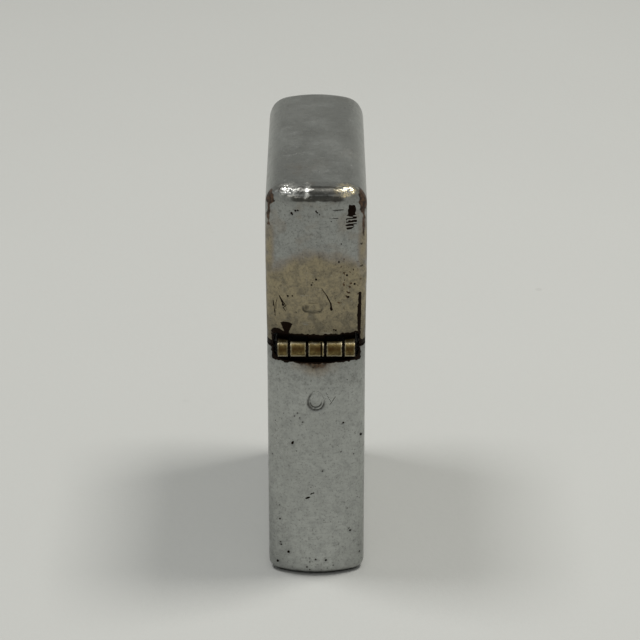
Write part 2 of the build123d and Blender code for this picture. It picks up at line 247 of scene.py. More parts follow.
def outline(inset_x, inset_y, corner):
    """Plan outline moved inwards, with a fixed number of points, from the +X, +Y corner round."""
    width, thick = HALF_WIDTH - inset_x, HALF_THICK - inset_y
    radius = END_RADIUS - inset_x
    centre = width - radius
    fillet_y = thick - corner
    fillet_x = centre + math.sqrt((radius - corner) ** 2 - fillet_y**2)
    lean = math.atan2(fillet_y, fillet_x - centre)

    def arc(cx, cy, r, start, end, cells):
        t = np.linspace(start, end, cells + 1)[:-1]
        return np.stack([cx + r * np.cos(t), cy + r * np.sin(t)], 1)

    def line(x0, x1, y, cells):
        t = np.linspace(x0, x1, cells + 1)[:-1]
        return np.stack([t, np.full(cells, y)], 1)

    runs = []
    for side, start, end_cells in ((1, QUARTER, HINGE_END_CELLS), (-1, -QUARTER, FAR_END_CELLS)):
        middle = start + QUARTER
        runs += [
            line(side * fillet_x, -side * fillet_x, side * thick, SIDE_CELLS),
            arc(-side * fillet_x, side * fillet_y, corner, start, middle - lean, CORNER_CELLS),
            arc(-side * centre, 0, radius, middle - lean, middle + lean, end_cells),
            arc(-side * fillet_x, -side * fillet_y, corner, middle + lean, middle + QUARTER, CORNER_CELLS),
        ]
    return np.concatenate(runs)


def end_share():
    """For each outline point: 0 on a broad side, 1 on an end, and between at a corner."""
    corner = smoothstep(0, CORNER_CELLS, np.arange(CORNER_CELLS))
    runs = []
    for end_cells in (HINGE_END_CELLS, FAR_END_CELLS):
        runs += [np.zeros(SIDE_CELLS), corner, np.ones(end_cells), 1 - corner]
    return np.concatenate(runs)


ENDNESS = end_share()


def ring_at(inset_x, inset_y, corner, heights):
    """The plan outline as a ring of points at one height, or at one height a point."""
    flat = outline(inset_x, inset_y, corner)
    return np.column_stack([flat, np.broadcast_to(heights, len(flat))])


def shrink_to_spine(ring, share):
    """A cap ring drawn in towards the middle line of the plan."""
    reach = HALF_WIDTH - HALF_THICK
    spine = np.clip(ring[:, 0], -reach, reach)
    moved = ring.copy()
    moved[:, 0] += share * (spine - ring[:, 0])
    moved[:, 1] *= 1 - share
    return moved


def even_rows(low, high):
    """Heights from low to high, close enough together to carry the marks."""
    return np.linspace(low, high, int((high - low) / ROW_STEP) + 2)


# ------------------------------------------------------------------ marks on the hinge end

# (y, z, radius) of the larger pits on the hinge end
LID_PITS = [
    (3.15, 53.4, 0.18), (3.05, 53.25, 0.13), (2.65, 53.8, 0.16), (2.35, 53.85, 0.15),
    (0.0, 53.8, 0.14), (-0.15, 53.6, 0.12), (-0.45, 53.35, 0.11), (0.7, 54.6, 0.09),
    (-3.25, 49.1, 0.12), (-2.95, 46.6, 0.14), (-5.9, 48.7, 0.14), (-4.0, 44.6, 0.17),
    (-5.9, 45.6, 0.15), (-5.0, 43.2, 0.16), (-4.2, 41.5, 0.17), (0.0, 44.3, 0.17),
    (0.6, 43.5, 0.14), (0.45, 43.9, 0.1), (3.7, 41.7, 0.17), (3.1, 41.8, 0.12),
    (-2.3, 37.0, 0.14), (-2.6, 36.9, 0.14), (-2.0, 39.95, 0.2), (-1.85, 40.1, 0.12),
    (4.35, 40.35, 0.18), (4.1, 40.1, 0.12), (-3.7, 43.9, 0.1), (2.6, 39.5, 0.09),
]
BODY_PITS = [
    (3.2, 20.2, 0.2), (3.1, 20.4, 0.14), (-6.0, 20.9, 0.16), (-3.6, 23.2, 0.17),
    (2.5, 24.8, 0.12), (1.8, 23.5, 0.12), (2.2, 24.1, 0.1), (2.9, 24.3, 0.1),
    (-0.85, 16.2, 0.13), (-4.6, 6.6, 0.17), (-4.4, 6.9, 0.1), (4.95, 8.3, 0.13),
    (4.9, 4.7, 0.13), (4.8, 4.35, 0.15), (3.8, 3.4, 0.22), (5.3, 1.65, 0.2),
    (0.1, 2.5, 0.15), (0.9, 2.1, 0.12), (-1.3, 2.4, 0.17), (1.3, 1.3, 0.17),
    (-5.8, 4.0, 0.13), (-5.9, 2.9, 0.13), (0.9, 2.7, 0.1), (-1.5, 1.2, 0.12),
    (3.3, 1.2, 0.11), (-2.3, 1.5, 0.1), (0.9, 0.9, 0.1), (-4.2, 10.1, 0.1),
    (5.0, 10.4, 0.1), (-3.3, 18.9, 0.09), (-5.0, 18.3, 0.1), (5.9, 18.0, 0.1),
]

# (y, z) of the middle of the two weld marks
LID_WELD = (0.45, 40.25)
BODY_WELD = (0.05, 26.75)

PIT_DEPTH, SCRATCH_DEPTH = 0.09, 0.04
TOP_BAND = 55.5  # height of the dark band and bright wear below the lid's top edge
PATINA_CREST = 47.9  # highest point of the tan patina

# (y, z) of the middle and of the radii of single marks; +Y is on the left of the photograph's view
FAN_FOOT = (3.9, 36.3)
CHIP = ((5.0, 36.55), (1.0, 0.42))
SMUDGE = ((-4.6, 53.6), (0.52, 0.8))
SMUDGE_STREAKS = ((-4.5, 52.1), (0.85, 1.35))
LEFT_RUST = ((6.1, 55.3), (0.75, 1.3))
RIGHT_RUST = ((-6.15, 55.2), (0.75, 2.3))
HINGE_RUST = ((0.2, 32.2), (2.7, 0.95))
RUST_DOTS = ((-4.3, 43.0), (1.7, 4.5))
UNDER_HINGE_PATINA = ((0, 32.3), (3.0, 1.9))
UNDER_HINGE_SHADE = ((0, 32.0), (2.6, 1.1))
LEFT_WELD_SHADE = ((1.3, 40.25), (0.45, 0.6))

# (y, z) of both ends of the two dark lines beside the patina
RIGHT_LINE = ((-5.72, 41.8), (-5.62, 36.6))
LEFT_LINE = ((5.6, 40.8), (5.35, 38.6))

# (start y, start z, end y, end z, half width) of the longer scratches
SCRATCHES = [
    (-0.7, 43.0, -1.4, 41.9, 0.05), (-1.4, 41.9, -1.9, 40.8, 0.07), (-1.9, 40.8, -2.0, 40.05, 0.09),
    (4.8, 41.6, 4.35, 40.4, 0.07), (4.6, 41.2, 4.0, 40.3, 0.06), (5.2, 40.9, 5.3, 39.6, 0.04),
    (4.3, 40.0, 4.0, 39.5, 0.05), (-0.7, 53.8, -3.6, 53.85, 0.04), (-2.6, 53.86, -3.1, 53.86, 0.08),
    (-1.5, 53.3, -2.9, 53.32, 0.035), (-1.8, 52.8, -2.9, 52.75, 0.03), (0.75, 12.7, 0.3, 12.9, 0.08),
    (1.35, 12.0, 0.95, 12.2, 0.12), (-1.3, 27.9, -2.1, 26.1, 0.035), (-2.6, 27.3, -1.7, 25.9, 0.03),
    (-5.75, 20.4, -5.95, 21.2, 0.04),
]


def near_segment(y, z, start, end):
    """Distance from points to a segment on the hinge end."""
    a, b = np.array(start), np.array(end)
    along = b - a
    t = np.clip(((y - a[0]) * along[0] + (z - a[1]) * along[1]) / (along @ along), 0, 1)
    return np.hypot(y - a[0] - t * along[0], z - a[1] - t * along[1])


def pit_field(y, z, pits, spread=1.5):
    """How deep inside a pit each point lies, 0 to 1."""
    field = np.zeros(len(y))
    for py, pz, radius in pits:
        distance = np.hypot(y - py, z - pz)
        field = np.maximum(field, smoothstep(spread * radius, 0.35 * radius, distance))
    return field


def lid_weld_shape(y, z):
    """0 in the middle of the lid's weld mark, 1 on its rim."""
    return squarish(y, z, LID_WELD, (1.3, 0.68))


def body_weld_shape(y, z):
    """0 in the middle of the body's egg-shaped weld mark, 1 on its rim."""
    height = z - BODY_WELD[1]
    half = 1.16 - 0.17 * height
    return np.hypot((y - BODY_WELD[0]) / np.maximum(half, 0.3), height / 1.5)


def weld_relief(y, z):
    """Relief of the two weld marks."""
    lid = lid_weld_shape(y, z)
    height = -0.13 * smoothstep(1.1, 0.45, lid) + 0.035 * bell(lid, 1.35, 0.346)
    egg = body_weld_shape(y, z)
    height += -0.05 * smoothstep(1.0, 0.8, egg) - 0.09 * bell(egg, 0.97, 0.0775)
    foot = smoothstep(26.8, 26.1, z) * (egg < 1.02) * smoothstep(0.35, 0.55, egg)
    return height + 0.05 * foot * np.cos(egg * 24.0)


def weld_shade(y, z):
    """Painted shade on the two weld marks: along their rims and ripples and on the sides their relief
    would shade.
    """
    lid = lid_weld_shape(y, z)
    low_side = smoothstep(40.5, 39.9, z + 0.25 * (LID_WELD[0] - y))
    rim = bell(lid, 0.95, 0.447) * low_side
    left = 0.75 * glow(y, z, *LEFT_WELD_SHADE)
    right = 0.5 * bell(lid, 0.95, 0.447) * smoothstep(-0.2, -0.6, y)
    egg = body_weld_shape(y, z)
    line = 0.55 * bell(egg, 0.98, 0.0632)
    foot = smoothstep(26.9, 26.2, z) * (egg < 1.06) * smoothstep(0.35, 0.55, egg)
    ripples = foot * (0.5 - 0.5 * np.cos(egg * 24.0 + 0.4))
    left_wall = 0.75 * bell(egg, 0.85, 0.141) * smoothstep(0.1, 0.8, y)
    return np.maximum.reduce([0.9 * rim, left, right, line, ripples, left_wall])


def hinge_end_weight(points):
    """1 on the hinge end's outer face, 0 elsewhere."""
    return smoothstep(-15.4, -16.4, points[:, 0])


def scratch_lines(y, z):
    """Closeness to the long scratches on the hinge end, 0 to 1."""
    field = np.zeros(len(y))
    for start_y, start_z, end_y, end_z, half in SCRATCHES:
        distance = near_segment(y, z, (start_y, start_z), (end_y, end_z))
        field = np.maximum(field, smoothstep(2.0 * half, 0.5 * half, distance))
    return field


def notch_distance(y, z):
    """Distance outside the hinge window's rectangle, in the end's plane."""
    half = BARREL_SPAN / 2 + NOTCH_SIDE_GAP
    return np.hypot(np.maximum(np.abs(y) - half, 0), np.maximum(np.abs(z - split) - NOTCH_REACH, 0))


def edge_wear(points):
    """Where the lid's front top edge is battered bright: three patches along it."""
    x, y, z = points.T
    across = y + 0.5 * wander(points, 1.1, 21)
    patches = bell(across, 3.6, 1.3) + 0.75 * bell(across, 1.1, 0.5) + bell(across, -4.1, 1.35)
    low = TOP_BAND + 0.01 * y**2 + 0.25 * wander(points, 1.6, 16)
    reach = -16.5 + 0.6 * wander(points, 1.2, 17)
    band = smoothstep(low - 0.25, low + 0.25, z) * smoothstep(reach + 0.5, reach - 0.5, x)
    return np.clip(patches, 0, 1) * band


def relief(points, pits):
    """Outward displacement of the outer skin at each point."""
    y, z = points[:, 1], points[:, 2]
    end = hinge_end_weight(points)
    height = 0.014 * wander(points, 0.16, 1) + 0.006 * wander(points, 0.6, 2)
    height += end * weld_relief(y, z)
    height -= end * PIT_DEPTH * pit_field(y, z, pits)
    height -= end * SCRATCH_DEPTH * scratch_lines(y, z)
    top_edge = smoothstep(54.8, 55.6, z) * smoothstep(-15.9, -17.0, points[:, 0])
    dents = 0.08 * wander(points, 0.9, 14) + 0.06 * wander(points, 2.2, 15)
    return height + top_edge * (dents - 0.02)


def grime_mask(points, pits):
    """Black dirt: round the hinge, on the seam, in the pits and in a few marks."""
    y, z = points[:, 1], points[:, 2]
    end = hinge_end_weight(points)
    rough, ragged = wander(points, 1.3, 3), wander(points, 3.1, 4)
    edge = notch_distance(y, z) + 0.16 * ragged + 0.12 * rough
    marks = [smoothstep(0.4, 0.04, edge)]
    fan_height = z - FAN_FOOT[1]
    fan_half = 0.3 + 0.42 * np.clip(fan_height - 0.25, 0, 2) + 0.06 * ragged
    fan = smoothstep(fan_half + 0.07, fan_half - 0.07, np.abs(y - FAN_FOOT[0]))
    fan *= smoothstep(1.8, 1.62, fan_height + 0.35 * (y - FAN_FOOT[0]) ** 2)
    marks.append(0.9 * fan * (fan_height > -0.4))
    chip = oval(y, z, *CHIP) + 0.3 * ragged
    marks.append(smoothstep(0.95, 0.55, chip))
    marks.append(smoothstep(1.2, 0.6, squarish(y, z, *SMUDGE) + 0.6 * ragged))
    lower = oval(y, z, *SMUDGE_STREAKS) + 0.3 * ragged
    streaks = np.cos(14.0 * (z + 0.1 * rough)) + 1.1 * ragged
    marks.append(smoothstep(1.1, 0.75, lower) * smoothstep(-0.5, 0.3, streaks))
    streak = near_segment(y, z, *RIGHT_LINE)
    width = 0.13 + 0.1 * bell(z, 38.9, 1.4)
    marks.append(smoothstep(width + 0.12, width, streak + 0.06 * ragged))
    side_line = near_segment(y, z, *LEFT_LINE)
    marks.append(0.7 * smoothstep(0.13, 0.02, side_line + 0.06 * ragged))
    seam = np.abs(z - split - 0.2) + 0.12 * ragged
    marks.append(smoothstep(0.6, 0.3, seam) * smoothstep(5.3, 5.7, np.abs(y + 0.15)))
    marks.append(0.95 * pit_field(y, z, pits))
    marks.append(0.8 * scratch_lines(y, z))
    return end * np.maximum.reduce(marks)


def stain_mask(points):
    """Brown corrosion at the lid's front corners, along its edges and below the hinge."""
    x, y, z = points.T
    end = hinge_end_weight(points)
    close_end = smoothstep(-15.2, -17.0, x)
    rough, ragged = wander(points, 1.3, 3), wander(points, 3.1, 4)
    left = oval(y, z, *LEFT_RUST) + 0.4 * rough + 0.25 * ragged
    right = oval(y, z, *RIGHT_RUST) + 0.3 * rough + 0.15 * ragged
    marks = [close_end * smoothstep(1.1, 0.7, left), close_end * smoothstep(1.05, 0.7, right)]
    corner = np.abs(np.abs(y) - 6.15) + 0.2 * rough
    run = smoothstep(48.5, 51.5, z + 3 * rough) * smoothstep(0.35, 0.1, corner)
    marks.append(0.65 * close_end * run)
    below = oval(y, z, *HINGE_RUST) + 0.3 * rough
    marks.append(0.5 * end * smoothstep(1.15, 0.45, below) * (z < split))
    right_rim = smoothstep(-5.9, -6.4, y) * smoothstep(52.6, 54.2, z) * smoothstep(-0.5, 0.4, rough)
    marks.append(0.5 * close_end * right_rim)
    spots = smoothstep(0.42, 0.6, wander(points, 0.33, 8)) * smoothstep(0.1, 0.5, rough)
    marks.append(0.45 * spots * (np.abs(y) > 5.9))
    dotted = glow(y, z, *RUST_DOTS)
    dots = smoothstep(0.44, 0.6, wander(points * (0.4, 1, 1), 2.4, 22) + 0.25 * dotted)
    marks.append(0.62 * end * dots * smoothstep(0.15, 0.4, dotted))
    return np.maximum.reduce(marks)


def patina_mask(points):
    """Tan patina on the lower part of the lid's hinge end and up its corners."""
    x, y, z = points.T
    end = smoothstep(-15.0, -17.2, x + 1.3 * wander(points, 0.6, 10))
    on_lid = z > split
    crest = PATINA_CREST - 0.075 * y**2 + 0.9 * wander(points, 0.5, 5)
    zone = smoothstep(crest + 2.4, crest - 2.2, z)
    rim = 0.8 * smoothstep(4.9, 6.0, np.abs(y)) * smoothstep(54.6, 49.0, z)
    haze = 0.3 * smoothstep(-0.1, 0.5, wander(points, 0.5, 9))
    sides = 0.3 * smoothstep(0.1, 0.55, wander(points, 0.11, 6)) * (1 - end)
    near_hinge = 0.75 * glow(y, z, *UNDER_HINGE_PATINA) * end
    return on_lid * np.maximum(end * np.maximum(zone, np.maximum(rim, haze)), sides) + (
        near_hinge * (1 - on_lid)
    )


def shade_mask(points, pits):
    """Darker colour on the hinge end: a painted dark reflection in a band below the lid's top edge and
    down the end's corners; painted shade above that band, between the top edge's bright patches, on the
    weld marks and along the foot; darker over the lid and in blotches round the hinge; tarnish round pits
    and just below the hinge.
    """
    x, y, z = points.T
    end = hinge_end_weight(points)
    rough, ragged = wander(points, 1.3, 3), wander(points, 3.1, 4)
    # painted dark reflection: a dark band below the lid's top edge (band), with lighter painted shade from
    # there up to the edge (upper)
    arch = TOP_BAND - 0.02 * y**2 + 0.14 * rough
    depth = np.abs(z - arch) / np.where(z > arch, 0.5, 0.38)
    band = smoothstep(1.25, 0.55, depth) * smoothstep(4.3, 2.6, np.abs(y + 0.2))
    upper = 0.35 * smoothstep(arch - 1.1 - 0.05 * y**2, arch - 0.3, z)
    # darker over the whole lid end, and darker still near the hinge on lid and body
    darker_lid_and_hinge = 0.26 * (z > split)
    darker_lid_and_hinge += np.where(z > split, 0.3, 0.42) * bell(z, split, 4.5)
    near_pits = 0.3 * pit_field(y, z, pits, 5.0)
    below = 0.36 * bell(z, 30.3, 2.8) * smoothstep(-0.8, 0.7, rough + ragged)
    close = 0.6 * glow(y, z, *UNDER_HINGE_SHADE)
    # painted shade along the foot: the contact shadow and dark reflection of the bottom edge
    foot = 0.95 * smoothstep(0.85, 0.3, z + 0.12 * rough)
    # painted dark reflection down the end's two corners
    corner = 0.5 * smoothstep(6.05, 6.4, np.abs(y)) * smoothstep(-16.6, -17.3, x)
    # painted shade on the top edge between the bright patches, dimming the lamps' reflection there
    top_edge = 0.95 * smoothstep(55.7, 56.2, z) * smoothstep(-17.3, -17.9, x)
    top_edge *= smoothstep(0.75, 0.3, edge_wear(points))
    marks = [band, upper, darker_lid_and_hinge, near_pits, below, close, foot, corner, top_edge]
    marks.append(weld_shade(y, z))
    return end * np.maximum.reduce(marks)


# ------------------------------------------------------------------ case and lid shells

RIM_ROUND = 0.07
LID_BULGE, BULGE_SPAN = 0.13, 26.0
DOME_ACROSS, DOME_ALONG = 0.4, 0.3
BASE_ROUND = 1.35


def outward(ring):
    """Unit outward directions in plan along a ring."""
    ahead, behind = np.roll(ring[:, :2], -1, 0), np.roll(ring[:, :2], 1, 0)
    along = ahead - behind
    normal = np.column_stack([along[:, 1], -along[:, 0]])
    return normal / np.linalg.norm(normal, axis=1, keepdims=True)


def push(ring, pits, scale=1.0):
    """Displace an outer ring by the surface relief."""
    moved = ring.copy()
    moved[:, :2] += outward(ring) * (scale * relief(ring, pits))[:, None]
    return moved


def dome(x, y):
    """Height of the lid's slightly domed top."""
    return TOP - DOME_ACROSS * (y / HALF_THICK) ** 2 - DOME_ALONG * (x / HALF_WIDTH) ** 2


def bulge(ring):
    """The lid's broad faces stand out a little in the middle of its height."""
    moved = ring.copy()
    swell = LID_BULGE * np.sin(np.pi * np.clip((ring[:, 2] - split) / BULGE_SPAN, 0, 1)) ** 1.5
    moved[:, 1] += np.sign(ring[:, 1]) * swell * smoothstep(3.5, 6.3, np.abs(ring[:, 1]))
    return moved


def top_rings(inset, broad, narrow, steps):
    """Rounded top edge from the wall up to the flat: the radius differs on sides and ends."""
    rings = []
    radius = broad + (narrow - broad) * ENDNESS
    for angle in np.linspace(0, QUARTER, steps):
        draw_in = 1 - math.cos(angle)
        corner = max(CORNER - inset - 0.55 * narrow * draw_in, 0.5)
        ring = ring_at(inset + narrow * draw_in, inset + broad * draw_in, corner, 0.0)
        ring[:, 2] = dome(ring[:, 0], ring[:, 1]) - inset - radius * (1 - math.sin(angle))
        rings.append(ring)
    return rings


def cap_rings(ring, steps, height):
    """Rings from an edge in to the spine; height gives z from x and y."""
    rings = []
    for share in np.linspace(0, 1, steps + 1)[1:]:
        moved = shrink_to_spine(ring, share)
        moved[:, 2] = height(moved[:, 0], moved[:, 1])
        rings.append(moved)
    return rings


def rim_rings(rim_z, side):
    """The rounded rim between the outer and the inner wall."""
    rings = []
    for angle in (30, 60, 90):
        draw_in = RIM_ROUND * (1 - math.cos(math.radians(angle)))
        drop = RIM_ROUND * (1 - math.sin(math.radians(angle)))
        rings.append(ring_at(draw_in, draw_in, CORNER - draw_in, rim_z + side * drop))
    rings.append(ring_at(WALL - RIM_ROUND, WALL - RIM_ROUND, CORNER - WALL, rim_z))
    rings.append(ring_at(WALL, WALL, CORNER - WALL, rim_z + side * RIM_ROUND))
    return rings


def lid_shell():
    """The lid as one closed skin: domed top, wall, rim and inner wall."""
    edge = top_rings(0.0, 2.5, 1.2, 13)
    cap = cap_rings(edge[-1], 12, dome)
    rim_z = split + SEAM
    wall_top = edge[0][:, 2]
    shares = (even_rows(rim_z + RIM_ROUND, TOP - 1.6) - rim_z) / (TOP - 1.6 - rim_z)
    outer = []
    for share in shares[::-1][1:]:
        outer.append(ring_at(0, 0, CORNER, rim_z + share * (wall_top - rim_z)))
    inner_edge = top_rings(WALL, 1.9, 0.6, 5)
    inner_cap = cap_rings(inner_edge[-1], 5, lambda x, y: dome(x, y) - WALL)
    inner = []
    for share in np.linspace(0, 1, 14)[1:-1]:
        height = rim_z + RIM_ROUND + share * (inner_edge[0][:, 2] - rim_z - RIM_ROUND)
        inner.append(ring_at(WALL, WALL, CORNER - WALL, height))
    rings = [push(r, LID_PITS, 0.4) for r in cap[::-1] + edge[::-1]]
    rings += [push(r, LID_PITS) for r in outer]
    rings += rim_rings(rim_z, 1) + inner + inner_edge + inner_cap
    return loft([bulge(r) for r in rings])


def base_height(x, y):
    """The underside: a shallow recessed panel inside the edge the lighter stands on."""
    inside = np.minimum(HALF_THICK - np.abs(y), HALF_WIDTH - np.abs(x))
    return 0.16 * smoothstep(1.7, 2.2, inside)


def body_shell():
    """The bottom case as one closed skin."""
    edge = []
    for angle in np.linspace(0, QUARTER, 10):
        draw_in = 1 - math.cos(angle)
        height = BASE_ROUND * (1 - math.sin(angle))
        edge.append(ring_at(draw_in, 1.5 * draw_in, CORNER - draw_in, height))
    cap = cap_rings(edge[-1], 14, base_height)
    rim_z = split - SEAM
    rows = even_rows(BASE_ROUND, rim_z - RIM_ROUND)
    outer = [ring_at(0, 0, CORNER, row) for row in rows[1:]]
    inner = [ring_at(WALL, WALL, CORNER - WALL, row) for row in np.linspace(rim_z, WALL, 16)[1:]]
    inner_cap = cap_rings(inner[-1], 4, lambda x, y: np.full(len(x), WALL))
    rings = [push(r, BODY_PITS, 0.0) for r in cap[::-1]]
    rings += [push(r, BODY_PITS, 0.5) for r in edge[::-1]]
    rings += [push(r, BODY_PITS) for r in outer]
    rings += rim_rings(rim_z, -1) + inner + inner_cap
    return loft(rings)


def notch_cutter():
    """A bar through the hinge end's wall, with its lower corners rounded more."""
    half = BARREL_SPAN / 2 + NOTCH_SIDE_GAP
    corners = []
    for cy, cz, start, rounding in (
        (1, 1, 0, NOTCH_UPPER_ROUND), (-1, 1, 90, NOTCH_UPPER_ROUND),
        (-1, -1, 180, NOTCH_LOWER_ROUND), (1, -1, 270, NOTCH_LOWER_ROUND),
    ):
        for step in range(7):
            t = math.radians(start + 15 * step)
            y = cy * (half - rounding) + rounding * math.cos(t)
            z = split + cz * (NOTCH_REACH - rounding) + rounding * math.sin(t)
            corners.append((y, z))
    rings = [np.array([(x, y, z) for y, z in corners]) for x in (-HALF_WIDTH - 1, -HALF_WIDTH + 4)]
    verts, faces = loft(rings, close_ends=True)
    return clean(new_object("notch_cutter", verts, faces))


def make_shells():
    """Both shells with the hinge notch cut out and their masks set."""
    cutter = notch_cutter()
    made = []
    for name, (verts, faces), pits in (
        ("lid_shell", lid_shell(), LID_PITS),
        ("body_shell", body_shell(), BODY_PITS),
    ):
        obj = clean(new_object(name, verts, faces))
        apply_modifier(obj, "BOOLEAN", object=cutter, operation="DIFFERENCE", solver="EXACT")
        clean(obj, merge=0.001, sharp_angle=50)
        obj.data.shade_smooth()
        obj.data.set_sharp_from_angle(angle=math.radians(50))
        points = points_mm(obj)
        set_masks(
            obj,
            grime=grime_mask(points, pits),
            stain=stain_mask(points),
            patina=patina_mask(points),
            shade=shade_mask(points, pits),
            bright=edge_wear(points),
        )
        made.append(obj)
    bpy.data.objects.remove(cutter)
    return made


# ------------------------------------------------------------------ hinge

KNUCKLE_GAP = 0.2
OUTER_SHARE = 0.69
BARREL_SIDES = 96
BARREL_ROUND = 0.13


def knuckle_places():
    """(start, end) along Y of the five knuckles; the outer two are shorter."""
    inner = (BARREL_SPAN - 4 * KNUCKLE_GAP) / (3 + 2 * OUTER_SHARE)
    places, start = [], -BARREL_SPAN / 2
    for share in (OUTER_SHARE, 1, 1, 1, OUTER_SHARE):
        places.append((start, start + share * inner))
        start += share * inner + KNUCKLE_GAP
    return places


KNUCKLES = knuckle_places()


def barrel(start, end, grooves=(), seed=0):
    """A rolled knuckle: worn rounded ends, a bore, and any worn grooves round it."""
    bore = BARREL_RADIUS - LEAF
    profile = [(BARREL_RADIUS - BARREL_ROUND, start), (BARREL_RADIUS - BARREL_ROUND, end)]
    for edge, side in ((start, BARREL_ROUND), (end, -BARREL_ROUND)):
        for angle in (30, 60, 90):
            t = math.radians(angle)
            radius = BARREL_RADIUS - BARREL_ROUND * (1 - math.sin(t))
            profile.append((radius, edge + side * (1 - math.cos(t))))
    for groove in sorted(grooves):
        for offset, depth in ((-0.1, 0), (-0.07, 0.1), (0.0, 0.17), (0.07, 0.1), (0.1, 0)):
            profile.append((BARREL_RADIUS - depth, groove + offset))
    middle = np.linspace(start + 0.25, end - 0.25, 15)
    profile += [(BARREL_RADIUS, y) for y in middle if all(abs(y - g) > 0.15 for g in grooves)]
    profile = [(bore, start)] + sorted(profile, key=lambda p: p[1]) + [(bore, end), (bore, start)]
    rings = []
    for radius, y in profile:
        t = np.linspace(0, TURN, BARREL_SIDES, endpoint=False)
        dent = [noise.noise(Vector((math.cos(a) * 1.4, y * 1.1 + seed, math.sin(a) * 1.4))) for a in t]
        r = radius + (0.02 * np.array(dent) - 0.012) * (radius > bore + 0.05)
        ring = np.stack([hinge_x + r * np.cos(t), np.full(BARREL_SIDES, y), split + r * np.sin(t)], 1)
        rings.append(ring)
    return new_object("barrel", *loft(rings))


def sheet_x(radius, y):
    """X of a curved sheet inside the hinge end."""
    return -(END_CENTRE + np.sqrt(radius**2 - y**2))


def curved_plate(start, end, low, high):
    """Part of a leaf: a plate that follows the inside of the end wall."""
    outer_radius = END_RADIUS - WALL - 0.02
    inner_radius = END_RADIUS - WALL - LEAF
    bevel = 0.06
    rings = []
    columns = np.linspace(start, end, max(int((end - start) / 0.3), 3))
    for index, y in enumerate(columns):
        tuck = bevel if index in (0, len(columns) - 1) else 0.0
        xo, xi = sheet_x(outer_radius, y) + tuck, sheet_x(inner_radius, y) - tuck
        points = [
            (xo, low + bevel), (xo + bevel, low), (xi - bevel, low), (xi, low + bevel),
            (xi, high - bevel), (xi - bevel, high), (xo + bevel, high), (xo, high - bevel),
        ]
        rings.append(np.array([(px, y, pz) for px, pz in points]))
    return new_object("plate", *loft(rings, close_ends=True))


def web(start, end, side):
    """The flange that joins a knuckle's roll to its leaf."""
    low, high = sorted((split + side * (BARREL_RADIUS - LEAF), split + side * BARREL_RADIUS))
    rings = []
    for y in np.linspace(start, end, 9):
        far = sheet_x(END_RADIUS - WALL - LEAF, y)
        points = [(hinge_x, low), (far, low), (far, high), (hinge_x, high)]
        rings.append(np.array([(px, y, pz) for px, pz in points]))
    return new_object("web", *loft(rings, close_ends=True))


def hinge_leaf(name, side, knuckles, leaf_end):
    """One leaf with its rolled knuckles."""
    half = BARREL_SPAN / 2
    low, high = sorted((split + side * NOTCH_REACH, leaf_end))
    parts = [curved_plate(-half, half, low, high)]
    for number, (start, end) in enumerate(knuckles):
        grooves = (start + 0.42,) if abs(start + end) < 0.01 else ()
        parts.append(barrel(start, end, grooves, seed=number + side))
        neck_low, neck_high = sorted(
            (split + side * (BARREL_RADIUS - LEAF), split + side * (NOTCH_REACH + 0.2))
        )
        parts.append(curved_plate(start, end, neck_low, neck_high))
        parts.append(web(start, end, side))
    obj = clean(join(name, parts), merge=0.0005, sharp_angle=45)
    points = points_mm(obj)
    x, y, z = points.T
    radius = np.hypot(x - hinge_x, z - split)
    on_barrel = (radius > BARREL_RADIUS - 0.22) & (radius < BARREL_RADIUS + 0.03) & (x < hinge_x + 0.55)
    edge = np.full(len(points), 9.0)
    for start, end in KNUCKLES:
        edge = np.minimum(edge, np.minimum(np.abs(y - start), np.abs(y - end)))
    crevice = smoothstep(0.28, 0.02, edge + 0.1 * wander(points, 3.0, 12))
    groove = smoothstep(0.03, 0.1, BARREL_RADIUS - radius)
    back = smoothstep(hinge_x - 0.25, hinge_x + 0.35, x)
    # dirt in the gaps between knuckles and in the groove; painted shade: the backs of the knuckles and the
    # leaf and webs seen through the notch set near black
    grime = np.where(on_barrel, np.maximum.reduce([0.75 * crevice, groove, back]), 1.0)
    inside = x > sheet_x(END_RADIUS - WALL - 0.1, np.clip(y, -5.2, 5.2))
    # the leaf hidden behind the end wall set only a little dark
    grime = np.where(inside & (np.abs(z - split) > NOTCH_REACH + 0.6), 0.25, grime)
    turn = np.degrees(np.arctan2(z - split, hinge_x - x))
    rim = bell(edge, 0.16, 0.08)
    foot = bell(turn, -42, 9)
    # crown: a painted highlight along the top of each knuckle; rim and foot are brass rubbed pale
    crown = 0.45 * bell(turn, 72, 20)
    rub = np.maximum.reduce([0.55 * rim, 0.9 * foot, crown]) * (1 + 0.5 * wander(points, 2.0, 21))
    browned = bell(turn, 22, 20) * (edge > 0.3) * (0.8 + 0.6 * wander(points, 1.1, 22))
    # this mask carries both the rubbed pale brass and the painted highlight
    worn, brown = np.clip(rub, 0, 1) * on_barrel, np.clip(browned, 0, 1) * on_barrel
    set_masks(obj, grime=grime, rub=worn, stain=brown)
    return obj


# ------------------------------------------------------------------ lighter unit pieces


